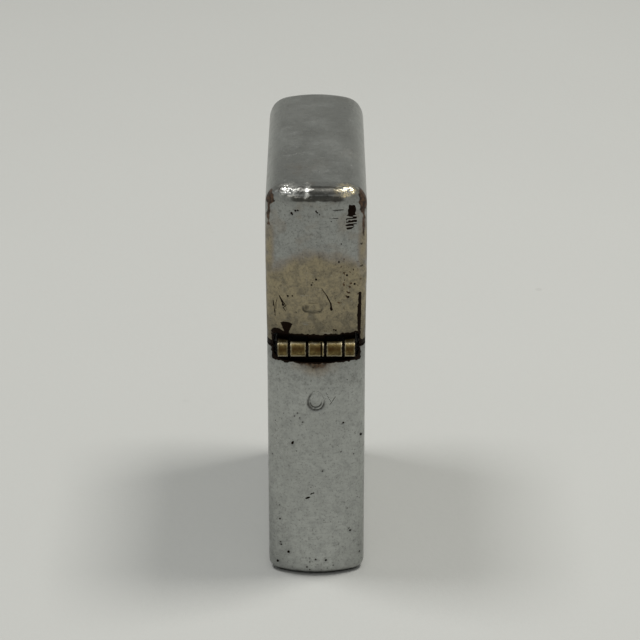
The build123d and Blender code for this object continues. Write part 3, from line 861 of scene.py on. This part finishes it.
def striker_wheel():
    """A hardened wheel with cross-cut teeth, plain chamfers and raised hub faces."""
    low, high = box_mm("striker_wheel")
    radius = (high[0] - low[0]) / 2
    half = (high[1] - low[1]) / 2
    sides, teeth, lean, depth = 480, 40, 0.42, 0.4
    bore, hub, face = 1.16, 2.4, half - 0.25
    t = np.linspace(0, TURN, sides, endpoint=False)

    def ring(r, y):
        return np.stack([wheel_x + r * np.cos(t), np.full(sides, y), wheel_z + r * np.sin(t)], 1)

    def saw(phase):
        return np.abs(2 * (phase % 1) - 1)

    def toothed(y, fade):
        turn = teeth * t / TURN
        cut_depth = np.maximum(saw(turn + lean * y), saw(turn - lean * y)) ** 2.2
        return ring(radius - 0.01 - fade * depth * cut_depth, y)

    rings = [ring(bore, -half), ring(hub - 0.15, -half), ring(hub, -half + 0.12), ring(hub, -face)]
    rings += [ring(radius - 0.9, -face), ring(radius - 0.45, -face + 0.05)]
    for y in np.linspace(-face + 0.2, face - 0.2, 36):
        rings.append(toothed(y, 1.0))
    rings += [ring(radius - 0.45, face - 0.05), ring(radius - 0.9, face)]
    rings += [ring(hub, face), ring(hub, half - 0.12), ring(hub - 0.15, half), ring(bore, half)]
    rings.append(ring(bore, -half))
    return clean(new_object("toothed_wheel", *loft(rings)), sharp_angle=40)


def tube_along(name, path, radius, sides, relief_of=None):
    """A tube round a path of millimetre points; relief_of(length, angle) gives extra radius."""
    path = np.asarray(path, float)
    steps = np.linalg.norm(np.diff(path, axis=0), axis=1)
    lengths = np.concatenate([[0], np.cumsum(steps)])
    tangents = np.gradient(path, axis=0)
    tangents /= np.linalg.norm(tangents, axis=1, keepdims=True)
    side = np.array([0.0, 1.0, 0.0])
    angles = np.linspace(0, TURN, sides, endpoint=False)
    rings = []
    for point, tangent, length in zip(path, tangents, lengths):
        across = side - tangent * (side @ tangent)
        if np.linalg.norm(across) < 0.1:
            across = np.cross(tangent, [1.0, 0.0, 0.0])
        across /= np.linalg.norm(across)
        other = np.cross(tangent, across)
        r = radius + (relief_of(length, angles) if relief_of else 0 * angles)
        rings.append(point + np.outer(r * np.cos(angles), across) + np.outer(r * np.sin(angles), other))
    return clean(new_object(name, *loft(rings, close_ends=True)), sharp_angle=60)


def finer(path, step):
    """Points at even distances along a line."""
    path = np.asarray(path)
    lengths = np.concatenate([[0], np.cumsum(np.linalg.norm(np.diff(path, axis=0), axis=1))])
    at = np.linspace(0, lengths[-1], int(lengths[-1] / step))
    return np.stack([np.interp(at, lengths, path[:, i]) for i in range(3)], 1)


def wick_path():
    """The wick's smooth line: down from the chimney, then in bends between the wads."""
    low, high = box_mm("wick")
    rows = [box_mm(f"rayon_ball_{n}") for n in (2, 3, 4, 5)]
    lanes = [(rows[n][0][2] + rows[n + 1][1][2]) / 2 for n in range(3)]
    stem = box_mm("rayon_ball_1")[1][0] + 1.6
    near, far = low[0] + 1.4, high[0] - 1.4
    route = [
        (stem, high[2] - 0.4), (stem, high[2] - 9.0), (stem, lanes[0] + 6.0), (stem, lanes[0] + 0.6),
        (stem + 2.6, lanes[0]), (far - 3.5, lanes[0]), (far, lanes[0] - 0.8), (far, lanes[1] + 0.8),
        (far - 3.5, lanes[1]), (near + 3.5, lanes[1]), (near, lanes[1] - 0.8), (near, lanes[2] + 0.8),
        (near + 3.5, lanes[2]), (far - 8.0, lanes[2]), (far - 4.5, lanes[2]),
    ]
    curve = bpy.data.curves.new("wick_line", "CURVE")
    curve.dimensions = "3D"
    curve.resolution_u = 16
    spline = curve.splines.new("NURBS")
    spline.points.add(len(route) - 1)
    for point, (x, z) in zip(spline.points, route):
        point.co = (x * MM, 0, z * MM, 1)
    spline.order_u = 3
    spline.use_endpoint_u = True
    obj = add_object("wick_line", curve)
    mesh = bpy.data.meshes.new_from_object(obj)
    path = [np.array(v.co) / MM for v in mesh.vertices]
    bpy.data.objects.remove(obj)
    bpy.data.meshes.remove(mesh)
    return path


def woven_wick():
    """A braided cotton wick, charred and frayed at its top."""
    def braid(length, angles):
        strands = np.sin(5 * angles + 2.6 * length) * np.sin(5 * angles - 2.6 * length)
        loose = 0.05 * math.exp(-length / 1.2) * np.sin(9 * angles + length)
        return 0.07 * strands - 0.06 + loose

    path = finer(wick_path(), 0.14)
    core = tube_along("wick_core", path, 1.36, 48, braid)
    top = path[0]
    threads = []
    for number in range(34):
        angle, reach = RNG.uniform(0, TURN), RNG.uniform(0.2, 1.2)
        x, y = top[0] + reach * math.cos(angle), reach * math.sin(angle)
        lean = RNG.uniform(0.05, 0.35)
        tip = (x + lean * math.cos(angle), y + lean * math.sin(angle), top[2] + RNG.uniform(0.05, 0.45))
        middle = ((x + tip[0]) / 2 + RNG.uniform(-0.1, 0.1), (y + tip[1]) / 2, top[2] + 0.1)
        strand = [(x, y, top[2] - 0.5), middle, tip]
        threads.append(tube_along("thread", strand, RNG.uniform(0.05, 0.09), 6))
    return join("woven_wick", [core] + threads)


def fibre_wad(number):
    """A wad of loose fibre: a soft lumpy block a little inside its CAD space."""
    low, high = box_mm(f"rayon_ball_{number}")
    centre, half = (low + high) / 2, (high - low) / 2 - 0.06
    bm = bmesh.new()
    bmesh.ops.create_cube(bm, size=2.0)
    bmesh.ops.subdivide_edges(bm, edges=bm.edges, cuts=22, use_grid_fill=True)
    for vert in bm.verts:
        p = np.array(vert.co)
        p = p / (np.sum(np.abs(p) ** 5) ** (1 / 5))
        at = centre + p * half
        lump = noise.fractal(Vector(at * 0.45), 0.8, 2.2, 4) * 0.22 + 0.2
        fray = abs(noise.noise(Vector(at * 2.4))) * 0.12
        end = 1 - 0.16 * abs(p[1]) ** 4 * (abs(p[0]) > 0.7)
        vert.co = Vector((centre + p * np.array([end, 1, 1]) * (half - lump - fray)) * MM)
    mesh = bpy.data.meshes.new(f"fibre_wad_{number}")
    bm.to_mesh(mesh)
    bm.free()
    mesh.shade_smooth()
    return add_object(mesh.name, mesh)


def felt_pad():
    """Pressed felt: the CAD pad's own outline, softened and roughened."""
    obj = add_object("pressed_felt", frame["nodes"]["felt_pad"].data.copy())
    obj.data.materials.clear()
    apply_modifier(obj, "REMESH", mode="VOXEL", voxel_size=0.3 * MM)
    bm = bmesh.new()
    bm.from_mesh(obj.data)
    every_axis = {f"use_axis_{letter}": True for letter in "xyz"}
    bmesh.ops.smooth_vert(bm, verts=bm.verts, factor=0.5, **every_axis)
    bm.normal_update()
    for vert in bm.verts:
        depth = 0.03 + 0.05 * abs(noise.noise(vert.co * 1900))
        vert.co -= vert.normal * depth * MM
    bm.to_mesh(obj.data)
    bm.free()
    obj.data.shade_smooth()
    return obj


def leaf_spring():
    """The cam's spring: a bent strip with rounded edges."""
    low, high = box_mm("cam_spring")
    sheet, bend = 0.25, 0.6
    leg_x = high[0] - sheet / 2
    under = low[2] + sheet / 2
    radius = bend + sheet / 2
    path = [(x, under) for x in np.linspace(low[0], leg_x - radius, 16)]
    for angle in np.linspace(-80, -10, 9):
        t = math.radians(angle)
        path.append((leg_x - radius + radius * math.cos(t), under + radius + radius * math.sin(t)))
    path += [(leg_x, z) for z in np.linspace(under + radius, high[2], 26)]
    path = np.array(path)
    along = np.gradient(path, axis=0)
    along /= np.linalg.norm(along, axis=1, keepdims=True)
    half, ease = high[1], 0.09
    rings = []
    for (x, z), (dx, dz) in zip(path, along):
        section = [
            (-sheet / 2, -half + ease), (-sheet / 2 + ease, -half), (sheet / 2 - ease, -half),
            (sheet / 2, -half + ease), (sheet / 2, half - ease), (sheet / 2 - ease, half),
            (-sheet / 2 + ease, half), (-sheet / 2, half - ease),
        ]
        rings.append(np.array([(x - dz * n, y, z + dx * n) for n, y in section]))
    return clean(new_object("leaf_spring", *loft(rings, close_ends=True)), sharp_angle=50)


def coil_spring():
    """The flint's spring, with closed end coils."""
    low, high = box_mm("flint_spring")
    wire, turns = 0.175, 14
    radius = (high[0] - low[0]) / 2 - wire
    length = high[2] - low[2] - 2 * wire
    path = []
    for t in np.linspace(0, 1, turns * 26):
        squeeze = t - 0.35 * math.sin(TURN * t) / TURN
        angle = TURN * turns * t
        z = low[2] + wire + length * squeeze
        path.append((wheel_x + radius * math.cos(angle), radius * math.sin(angle), z))
    return tube_along("coil_spring", path, wire, 10)


# ------------------------------------------------------------------ materials


class Material:
    """A small helper for procedural node materials in millimetre coordinates."""

    def __init__(self, name):
        self.mat = bpy.data.materials.new(name)
        self.mat.use_nodes = True
        self.tree = self.mat.node_tree
        self.bsdf = next(n for n in self.tree.nodes if n.type == "BSDF_PRINCIPLED")
        coords = self.node("ShaderNodeTexCoord")
        scale = self.node("ShaderNodeVectorMath", operation="SCALE")
        self.tree.links.new(coords.outputs["Object"], scale.inputs[0])
        scale.inputs["Scale"].default_value = 1 / MM
        self.place = scale.outputs[0]

    def node(self, kind, **settings):
        made = self.tree.nodes.new(kind)
        for key, value in settings.items():
            setattr(made, key, value)
        return made

    def put(self, socket, value):
        if isinstance(value, bpy.types.NodeSocket):
            self.tree.links.new(value, socket)
        elif isinstance(value, (tuple, list)) and len(value) == 3 and socket.type == "RGBA":
            socket.default_value = (*value, 1)
        else:
            socket.default_value = value

    def set(self, **inputs):
        """Set sockets of the shader by name, with _ for a space."""
        for key, value in inputs.items():
            self.put(self.bsdf.inputs[key.replace("_", " ")], value)

    def mask(self, name):
        """A per-vertex mask."""
        return self.node("ShaderNodeAttribute", attribute_name=name).outputs["Fac"]

    def axis(self, index):
        """One coordinate, in millimetres."""
        split_node = self.node("ShaderNodeSeparateXYZ")
        self.put(split_node.inputs[0], self.place)
        return split_node.outputs[index]

    def stretch(self, factors):
        """The coordinates scaled along each axis."""
        made = self.node("ShaderNodeVectorMath", operation="MULTIPLY")
        self.put(made.inputs[0], self.place)
        made.inputs[1].default_value = factors
        return made.outputs[0]

    def noise(self, scale, detail=3.0, roughness=0.55, at=None, distortion=0.0):
        made = self.node("ShaderNodeTexNoise")
        self.put(made.inputs["Vector"], at or self.place)
        made.inputs["Scale"].default_value = scale
        made.inputs["Detail"].default_value = detail
        made.inputs["Roughness"].default_value = roughness
        made.inputs["Distortion"].default_value = distortion
        return made.outputs["Fac"]

    def dots(self, scale, low, high):
        """Scattered dots: 1 nearer than low to a random point, 0 beyond high."""
        made = self.node("ShaderNodeTexVoronoi")
        self.put(made.inputs["Vector"], self.place)
        made.inputs["Scale"].default_value = scale
        return self.ramp(made.outputs["Distance"], low, high, 1.0, 0.0)

    def math(self, operation, a, b=0.0):
        made = self.node("ShaderNodeMath", operation=operation)
        self.put(made.inputs[0], a)
        self.put(made.inputs[1], b)
        return made.outputs[0]

    def times(self, a, b):
        return self.math("MULTIPLY", a, b)

    def plus(self, a, b):
        return self.math("ADD", a, b)

    def minus(self, a, b):
        return self.math("SUBTRACT", a, b)

    def most(self, a, b):
        return self.math("MAXIMUM", a, b)

    def ramp(self, value, low, high, out_low=0.0, out_high=1.0):
        """A smooth step of a value between two limits."""
        made = self.node("ShaderNodeMapRange", interpolation_type="SMOOTHSTEP")
        for socket, number in zip(made.inputs, (value, low, high, out_low, out_high)):
            self.put(socket, number)
        return made.outputs[0]

    def mix(self, share, a, b):
        """Mix of two colours."""
        made = self.node("ShaderNodeMix", data_type="RGBA")
        self.put(made.inputs[0], share)
        self.put(made.inputs[6], a)
        self.put(made.inputs[7], b)
        return made.outputs[2]

    def blend(self, share, a, b):
        """Mix of two numbers."""
        made = self.node("ShaderNodeMix", data_type="FLOAT")
        self.put(made.inputs[0], share)
        self.put(made.inputs[2], a)
        self.put(made.inputs[3], b)
        return made.outputs[0]

    def bump(self, height, distance, normal=None):
        """Relief of a height from 0 to 1, with the distance in millimetres."""
        made = self.node("ShaderNodeBump")
        made.inputs["Strength"].default_value = 1.0
        made.inputs["Distance"].default_value = distance * MM
        self.put(made.inputs["Height"], height)
        if normal is not None:
            self.put(made.inputs["Normal"], normal)
        return made.outputs["Normal"]

    def soft_edges(self, radius):
        """Normals that round off sharp edges, in millimetres."""
        made = self.node("ShaderNodeBevel", samples=4)
        made.inputs["Radius"].default_value = radius * MM
        return made.outputs["Normal"]


def sharpen(m, mask, low, high, scale=4.0, amount=0.35):
    """A vertex mask with a crisp, irregular edge."""
    rough = m.times(m.minus(m.noise(scale, 5, 0.65), 0.5), amount)
    return m.ramp(m.plus(mask, rough), low, high)


def worn_plate():
    """Old plating: dull grey, hazed, pitted, with tan patina, brown stains and dirt, and painted shade and
    painted dark reflections on the hinge end.
    """
    m = Material("worn_plate")
    cloud = m.noise(0.14, 4, 0.6)
    mottle = m.noise(0.9, 6, 0.66, distortion=0.5)
    fine = m.noise(2.7, 5, 0.8)
    streaks = m.noise(1.0, 4, 0.6, at=m.stretch((6.0, 0.45, 3.0)))
    steel = m.mix(m.ramp(cloud, 0.35, 0.68), (0.39, 0.4, 0.38), (0.44, 0.452, 0.43))
    at_end = m.ramp(m.axis(0), -13.0, -17.5)
    mottled = m.times(m.ramp(mottle, 0.42, 0.66), m.blend(at_end, 0.2, 0.36))
    steel = m.mix(mottled, steel, (0.25, 0.255, 0.245))
    steel = m.mix(m.times(m.ramp(streaks, 0.42, 0.7), 0.3), steel, (0.27, 0.275, 0.262))
    grains = m.times(m.ramp(fine, 0.5, 0.7), m.blend(at_end, 0.25, 0.5))
    steel = m.mix(grains, steel, (0.18, 0.182, 0.17))
    stipple = m.times(m.ramp(m.noise(3.4, 3, 0.7), 0.56, 0.68), m.blend(at_end, 0.3, 1.0))
    steel = m.mix(m.times(stipple, 0.5), steel, (0.12, 0.12, 0.11))

    patina = sharpen(m, m.mask("patina"), 0.1, 0.95, 0.8, 0.55)
    tan = m.mix(m.ramp(mottle, 0.36, 0.68), (0.425, 0.355, 0.218), (0.265, 0.228, 0.153))
    tan = m.mix(m.times(m.ramp(fine, 0.5, 0.7), 0.5), tan, (0.12, 0.1, 0.066))
    tan = m.mix(m.times(stipple, 0.45), tan, (0.09, 0.075, 0.05))
    color = m.mix(m.times(patina, 0.9), steel, tan)
    margin = m.times(patina, m.minus(1.0, patina))
    color = m.mix(m.times(margin, 1.1), color, (0.25, 0.2, 0.19))

    # darkened by the shade mask: painted shade and painted dark reflections, with tarnish round pits and
    # below the hinge
    shade = m.plus(m.mask("shade"), m.times(m.minus(fine, 0.5), 0.25))
    shade = m.times(m.ramp(shade, 0.02, 0.95), 0.88)
    color = m.mix(shade, color, (0.035, 0.033, 0.028))

    specks = m.dots(0.95, 0.05, 0.11)
    rare = m.ramp(m.noise(0.42, 2), 0.5, 0.62)
    specks = m.times(specks, rare)
    clusters = m.ramp(m.plus(mottle, m.times(patina, 0.06)), 0.52, 0.62)
    tiny = m.times(m.dots(2.3, 0.06, 0.19), clusters)
    pits = m.most(specks, m.times(tiny, 0.62))

    scratches = None
    for number, (factors, low) in enumerate(
        (((7.0, 7.0, 0.5), 0.66), ((0.55, 0.55, 9.0), 0.66), ((5.0, 0.4, 5.0), 0.64))
    ):
        lines = m.ramp(m.noise(1.0, 2, 0.5, at=m.stretch(factors), distortion=0.25), low, low + 0.05)
        lines = m.times(lines, m.ramp(m.noise(0.25 + 0.1 * number, 2), 0.45, 0.65))
        scratches = lines if scratches is None else m.most(scratches, lines)
    color = m.mix(m.times(scratches, 0.3), color, (0.42, 0.42, 0.4))

    flecks = m.ramp(m.noise(1.5, 3, 0.6, distortion=1.5), 0.4, 0.62)
    bright = m.times(m.ramp(m.mask("bright"), 0.1, 0.75), flecks)
    gilt = m.mix(m.ramp(m.axis(1), 0.5, -3.0), (0.86, 0.85, 0.8), (0.88, 0.76, 0.5))
    color = m.mix(bright, color, gilt)

    stain = sharpen(m, m.mask("stain"), 0.25, 0.62, 2.6, 0.5)
    rust = m.mix(m.ramp(m.noise(2.2, 4), 0.35, 0.65), (0.024, 0.012, 0.007), (0.13, 0.07, 0.038))
    color = m.mix(m.times(stain, 0.9), color, rust)
    grime = sharpen(m, m.mask("grime"), 0.35, 0.6, 5.0, 0.4)
    dirt = m.most(grime, m.times(pits, 0.8))
    color = m.mix(dirt, color, m.mix(m.noise(3.0), (0.005, 0.004, 0.003), (0.018, 0.009, 0.005)))

    covered = m.most(m.times(stain, 0.85), dirt)
    rough = m.ramp(cloud, 0.3, 0.7, 0.27, 0.36)
    rough = m.plus(rough, m.times(m.ramp(mottle, 0.4, 0.7), 0.1))
    rough = m.plus(rough, m.times(m.most(patina, shade), 0.1))
    rough = m.blend(bright, rough, 0.27)
    rough = m.blend(covered, rough, 0.6)
    height = m.minus(m.times(mottle, 0.5), m.times(pits, 0.9))
    height = m.minus(height, m.times(scratches, 0.16))
    height = m.plus(height, m.times(fine, 0.3))
    battered = m.times(m.noise(1.15, 2, 0.6), m.ramp(m.mask("bright"), 0.0, 0.9))
    m.set(
        Base_Color=color,
        Metallic=0.96,
        Roughness=rough,
        Normal=m.bump(battered, 0.36, normal=m.bump(height, 0.05)),
    )
    return m.mat


def hinge_brass():
    """Dirty brass, rubbed pale on rims and feet of the knuckles, with a painted highlight along their
    tops, black dirt in the gaps between them and near-black painted shade on the leaf, webs and knuckle
    backs seen through the notch.
    """
    m = Material("hinge_brass")
    mottle = m.noise(2.4, 5, 0.65)
    brass = m.mix(m.ramp(mottle, 0.35, 0.65), (0.2, 0.15, 0.056), (0.095, 0.07, 0.026))
    smears = m.ramp(m.noise(0.95, 4, 0.7, distortion=0.6), 0.47, 0.62)
    brass = m.mix(m.times(smears, 0.6), brass, (0.05, 0.032, 0.012))
    lines = m.noise(1.0, 3, at=m.stretch((2.0, 14.0, 2.0)))
    brass = m.mix(m.times(m.ramp(lines, 0.5, 0.7), 0.4), brass, (0.07, 0.055, 0.026))
    brass = m.mix(m.times(m.mask("stain"), 0.9), brass, (0.08, 0.04, 0.012))
    # pale rubbed brass on rims and feet, and a painted highlight along the knuckles' tops
    brass = m.mix(m.ramp(m.mask("rub"), 0.12, 0.75), brass, (0.5, 0.45, 0.31))
    # black: dirt in the gaps and painted shade on the leaf, webs and knuckle backs inside the notch
    grime = sharpen(m, m.mask("grime"), 0.35, 0.75, 4.5, 0.5)
    color = m.mix(grime, brass, m.mix(mottle, (0.004, 0.003, 0.002), (0.016, 0.009, 0.005)))
    m.set(
        Base_Color=color,
        Metallic=0.97,
        Roughness=m.blend(grime, m.ramp(mottle, 0.3, 0.7, 0.34, 0.5), 0.6),
        Normal=m.bump(m.plus(mottle, m.times(lines, 0.4)), 0.03),
    )
    return m.mat


def unit_steel(name, soot, grain_axis):
    """Brushed steel with soot towards the flame and near-black painted shade on the end that faces the
    hinge.
    """
    m = Material(name)
    factors = [9.0, 9.0, 9.0]
    factors[grain_axis] = 0.35
    grain = m.noise(1.0, 4, 0.6, at=m.stretch(factors))
    cloud = m.noise(0.35, 4, 0.6)
    steel = m.mix(m.ramp(grain, 0.3, 0.7), (0.4, 0.395, 0.38), (0.5, 0.495, 0.48))
    steel = m.mix(m.times(m.ramp(cloud, 0.45, 0.7), 0.4), steel, (0.3, 0.28, 0.23))
    spots = m.times(m.dots(1.4, 0.05, 0.13), m.ramp(cloud, 0.5, 0.6))
    steel = m.mix(m.times(spots, 0.8), steel, (0.07, 0.04, 0.02))
    height = m.ramp(m.axis(2), deck_top + 4.0, deck_top + 16.0)
    smoke = m.plus(height, m.times(m.minus(cloud, 0.5), 1.3))
    smoke = m.times(m.ramp(smoke, 0.35, 1.2), soot)
    color = m.mix(smoke, steel, (0.018, 0.015, 0.013))
    # painted shade: the end of the unit seen behind the hinge knuckles, near black
    hinge_end_shade = m.ramp(m.axis(0), hinge_x + 3.4, hinge_x + 1.6)
    band = m.ramp(m.math("ABSOLUTE", m.minus(m.axis(2), split)), 3.2, 1.8)
    hinge_end_shade = m.times(hinge_end_shade, band)
    color = m.mix(hinge_end_shade, color, (0.008, 0.006, 0.004))
    soot_and_shade = m.most(smoke, hinge_end_shade)
    m.set(
        Base_Color=color,
        Metallic=m.blend(soot_and_shade, 0.97, 0.7),
        Roughness=m.blend(soot_and_shade, m.ramp(grain, 0.3, 0.7, 0.26, 0.4), 0.75),
        Normal=m.bump(grain, 0.012, normal=m.soft_edges(0.12)),
    )
    return m.mat


def plain_metal(name, light, dark, rough, grain=(4.0, 4.0, 4.0), grimy=0.4):
    """Small turned or drawn metal pieces with mottled tarnish."""
    m = Material(name)
    mottle = m.noise(1.6, 5, 0.65)
    lines = m.noise(1.0, 3, 0.6, at=m.stretch(grain))
    color = m.mix(m.ramp(lines, 0.3, 0.7), light, dark)
    color = m.mix(m.times(m.ramp(mottle, 0.5, 0.72), grimy), color, (0.04, 0.026, 0.014))
    m.set(
        Base_Color=color,
        Metallic=0.95,
        Roughness=m.ramp(mottle, 0.3, 0.7, rough, rough + 0.16),
        Normal=m.bump(lines, 0.012, normal=m.soft_edges(0.08)),
    )
    return m.mat


def wheel_steel():
    """Dark hardened steel with grey flint dust between the teeth."""
    m = Material("wheel_steel")
    mottle = m.noise(2.0, 5, 0.65)
    radial = m.node("ShaderNodeVectorMath", operation="SUBTRACT")
    m.put(radial.inputs[0], m.place)
    radial.inputs[1].default_value = (wheel_x, 0, wheel_z)
    flat = m.node("ShaderNodeVectorMath", operation="MULTIPLY")
    m.put(flat.inputs[0], radial.outputs[0])
    flat.inputs[1].default_value = (1, 0, 1)
    reach = m.node("ShaderNodeVectorMath", operation="LENGTH")
    m.put(reach.inputs[0], flat.outputs[0])
    crest = m.ramp(reach.outputs["Value"], 3.95, 4.24)
    steel = m.mix(crest, (0.05, 0.047, 0.043), (0.3, 0.29, 0.28))
    dust = m.times(m.ramp(mottle, 0.45, 0.65), m.minus(1.0, crest))
    color = m.mix(m.times(dust, 0.5), steel, (0.17, 0.16, 0.14))
    m.set(
        Base_Color=color,
        Metallic=m.blend(dust, 0.9, 0.3),
        Roughness=m.ramp(mottle, 0.3, 0.7, 0.34, 0.55),
        Normal=m.bump(mottle, 0.02),
    )
    return m.mat


def flint_alloy():
    """Dark, gritty flint."""
    m = Material("flint_alloy")
    grit = m.noise(5.0, 5, 0.7)
    m.set(
        Base_Color=m.mix(grit, (0.09, 0.085, 0.08), (0.22, 0.21, 0.2)),
        Metallic=0.5,
        Roughness=0.6,
        Normal=m.bump(grit, 0.04),
    )
    return m.mat


def wick_cotton():
    """Off-white cotton, browned and then charred towards the top."""
    m = Material("wick_cotton")
    weave = m.noise(6.0, 4, 0.7)
    cotton = m.mix(m.ramp(weave, 0.3, 0.7), (0.5, 0.44, 0.33), (0.66, 0.6, 0.49))
    top = box_mm("wick")[1][2]
    height = m.plus(m.axis(2), m.times(m.noise(0.9, 3), 2.0))
    color = m.mix(m.ramp(height, top - 6.5, top - 2.0), cotton, (0.16, 0.1, 0.055))
    color = m.mix(m.ramp(height, top - 2.6, top - 0.6), color, (0.014, 0.012, 0.011))
    m.set(
        Base_Color=color,
        Roughness=0.9,
        Sheen_Weight=0.25,
        Normal=m.bump(weave, 0.06),
    )
    return m.mat


def fibre(name, light, dark, scale, depth):
    """Loose or pressed fibre."""
    m = Material(name)
    strands = m.noise(1.0, 5, 0.7, at=m.stretch((scale, scale * 0.3, scale)), distortion=1.6)
    other = m.noise(1.0, 5, 0.7, at=m.stretch((scale * 0.3, scale, scale)), distortion=1.6)
    tangle = m.most(strands, other)
    m.set(
        Base_Color=m.mix(m.ramp(tangle, 0.4, 0.75), dark, light),
        Roughness=0.92,
        Sheen_Weight=0.4,
        Normal=m.bump(tangle, depth),
    )
    return m.mat


def paper(name, colour):
    """The pale sheet the lighter stands on, with faint specks, and painted shade that darkens it as it
    rises into the backdrop.
    """
    m = Material(name)
    cloud = m.noise(0.006, 3)
    tooth = m.noise(0.9, 4, 0.6)
    base = m.mix(cloud, tuple(c * 0.96 for c in colour), tuple(c * 1.04 for c in colour))
    # painted shade: the sheet darker the higher it rises
    base = m.mix(m.ramp(m.axis(2), 5.0, 260.0), base, tuple(c * 0.4 for c in colour))
    specks = m.dots(0.055, 0.02, 0.045)
    specks = m.times(specks, m.ramp(m.noise(0.03, 2), 0.5, 0.6))
    base = m.mix(m.times(specks, 0.16), base, (0.25, 0.24, 0.22))
    m.set(Base_Color=base, Roughness=0.85, Normal=m.bump(tooth, 0.05))
    return m.mat


def paint(obj, material):
    """Give a piece its material."""
    obj.data.materials.clear()
    obj.data.materials.append(material)


# ------------------------------------------------------------------ build the object

plate = worn_plate()
brass = hinge_brass()
tank_steel = unit_steel("tank_steel", 0.25, 0)
chimney_steel = unit_steel("chimney_steel", 0.85, 2)
rivet_steel = plain_metal("rivet_steel", (0.42, 0.41, 0.38), (0.3, 0.29, 0.27), 0.3)
pin_steel = plain_metal("pin_steel", (0.03, 0.024, 0.018), (0.014, 0.01, 0.008), 0.5)
cam_steel = plain_metal("cam_steel", (0.4, 0.39, 0.37), (0.28, 0.275, 0.26), 0.3, (0.6, 9.0, 6.0))
spring_steel = plain_metal("spring_steel", (0.3, 0.3, 0.3), (0.2, 0.2, 0.2), 0.28)
tube_brass = plain_metal("tube_brass", (0.56, 0.43, 0.19), (0.4, 0.3, 0.13), 0.26, (1.0, 1.0, 7.0))
wick_material = wick_cotton()
packing = fibre("packing_fibre", (0.74, 0.73, 0.69), (0.5, 0.48, 0.43), 3.0, 0.12)
felt = fibre("felt", (0.52, 0.49, 0.42), (0.32, 0.29, 0.24), 4.0, 0.08)

lid_skin, body_skin = make_shells()
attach(lid_skin, "lid")
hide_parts("lid_case")
paint(lid_skin, plate)
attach(body_skin, "base")
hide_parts("bottom_case")
paint(body_skin, plate)

lid_leaf = hinge_leaf("lid_hinge_plate", 1, KNUCKLES[0::2], leaf_high[2])
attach(lid_leaf, "lid")
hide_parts("lid_hinge_leaf")
paint(lid_leaf, brass)
body_leaf = hinge_leaf("body_hinge_plate", -1, KNUCKLES[1::2], body_leaf_low[2])
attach(body_leaf, "base")
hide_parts("bottom_hinge_leaf")
paint(body_leaf, brass)

wheel = striker_wheel()
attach(wheel, "striker")
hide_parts("striker_wheel")
paint(wheel, wheel_steel())

wick = woven_wick()
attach(wick, "base")
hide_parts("wick")
paint(wick, wick_material)

for number in range(1, 8):
    wad = fibre_wad(number)
    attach(wad, "base")
    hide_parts(f"rayon_ball_{number}")
    paint(wad, packing)

pad = felt_pad()
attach(pad, "base")
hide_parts("felt_pad")
paint(pad, felt)

strip = leaf_spring()
paint(strip, spring_steel)
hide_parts("cam_spring")
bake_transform(strip)

coil = coil_spring()
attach(coil, "base")
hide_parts("flint_spring")
paint(coil, spring_steel)
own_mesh(coil)

for names, material in (
    (("tank_shell", "tank_deck"), tank_steel),
    (("chimney",), chimney_steel),
    (("hinge_pin",), pin_steel),
    (("wheel_rivet", "cam_rivet", "cam_spring_rivet"), rivet_steel),
    (("lid_cam",), cam_steel),
    (("flint_tube", "flint_screw", "flint_pusher"), tube_brass),
    (("flint",), flint_alloy()),
):
    for name in names:
        paint(frame["nodes"][name], material)

# ------------------------------------------------------------------ floor, light and camera


def studio_floor():
    """One pale sheet: a level floor that curves up into a backdrop far behind."""
    bend_start, bend, reach = 300.0, 160.0, 900.0
    profile = [(-reach, 0.0), (bend_start, 0.0)]
    for angle in range(-80, 1, 10):
        t = math.radians(angle)
        profile.append((bend_start + bend * math.cos(t), bend + bend * math.sin(t)))
    profile.append((bend_start + bend, reach))
    verts = [(x, y, z) for x, z in profile for y in (-reach, reach)]
    faces = [(2 * i, 2 * i + 2, 2 * i + 3, 2 * i + 1) for i in range(len(profile) - 1)]
    obj = new_object("studio_floor", verts, faces)
    obj.data.materials.append(paper("floor_paper", (0.485, 0.487, 0.465)))


def soft_light(name, place, size, power, colour=(1.0, 1.0, 1.0)):
    """A square soft lamp at a millimetre place, aimed at the object."""
    data = bpy.data.lights.new(name, "AREA")
    data.size = size * MM
    data.energy = power
    data.color = colour
    obj = add_object(name, data)
    obj.location = Vector(place) * MM
    aim = Vector((0, 0, 0.5 * TOP)) * MM - obj.location
    obj.rotation_euler = aim.to_track_quat("-Z", "Y").to_euler()


def world_light(colour, strength):
    """Even light from all round."""
    world = bpy.data.worlds.new("studio")
    world.use_nodes = True
    back = world.node_tree.nodes["Background"]
    back.inputs["Color"].default_value = (*colour, 1)
    back.inputs["Strength"].default_value = strength
    bpy.context.scene.world = world


def photo_camera():
    """Looks along +X at the hinge end, from a little above."""
    elevation, distance = math.radians(24.49), 341.5
    aim = Vector((0.0, -0.5, 29.88))
    data = bpy.data.cameras.new("camera")
    data.lens = 138.06
    data.sensor_width = 36.0
    data.clip_start = 0.01
    obj = add_object("camera", data)
    back = Vector((-math.cos(elevation), 0.0, math.sin(elevation))) * distance
    obj.location = (aim + back) * MM
    obj.rotation_euler = (-back).to_track_quat("-Z", "Y").to_euler()
    bpy.context.scene.camera = obj


studio_floor()
soft_light("left_lamp", (48, 235, 630), 165, 1.7)
soft_light("right_lamp", (48, -235, 630), 165, 2.35, (1.0, 0.985, 0.95))
world_light((0.98, 1.0, 0.98), 0.41)
photo_camera()
bpy.context.scene.view_settings.view_transform = "Standard"
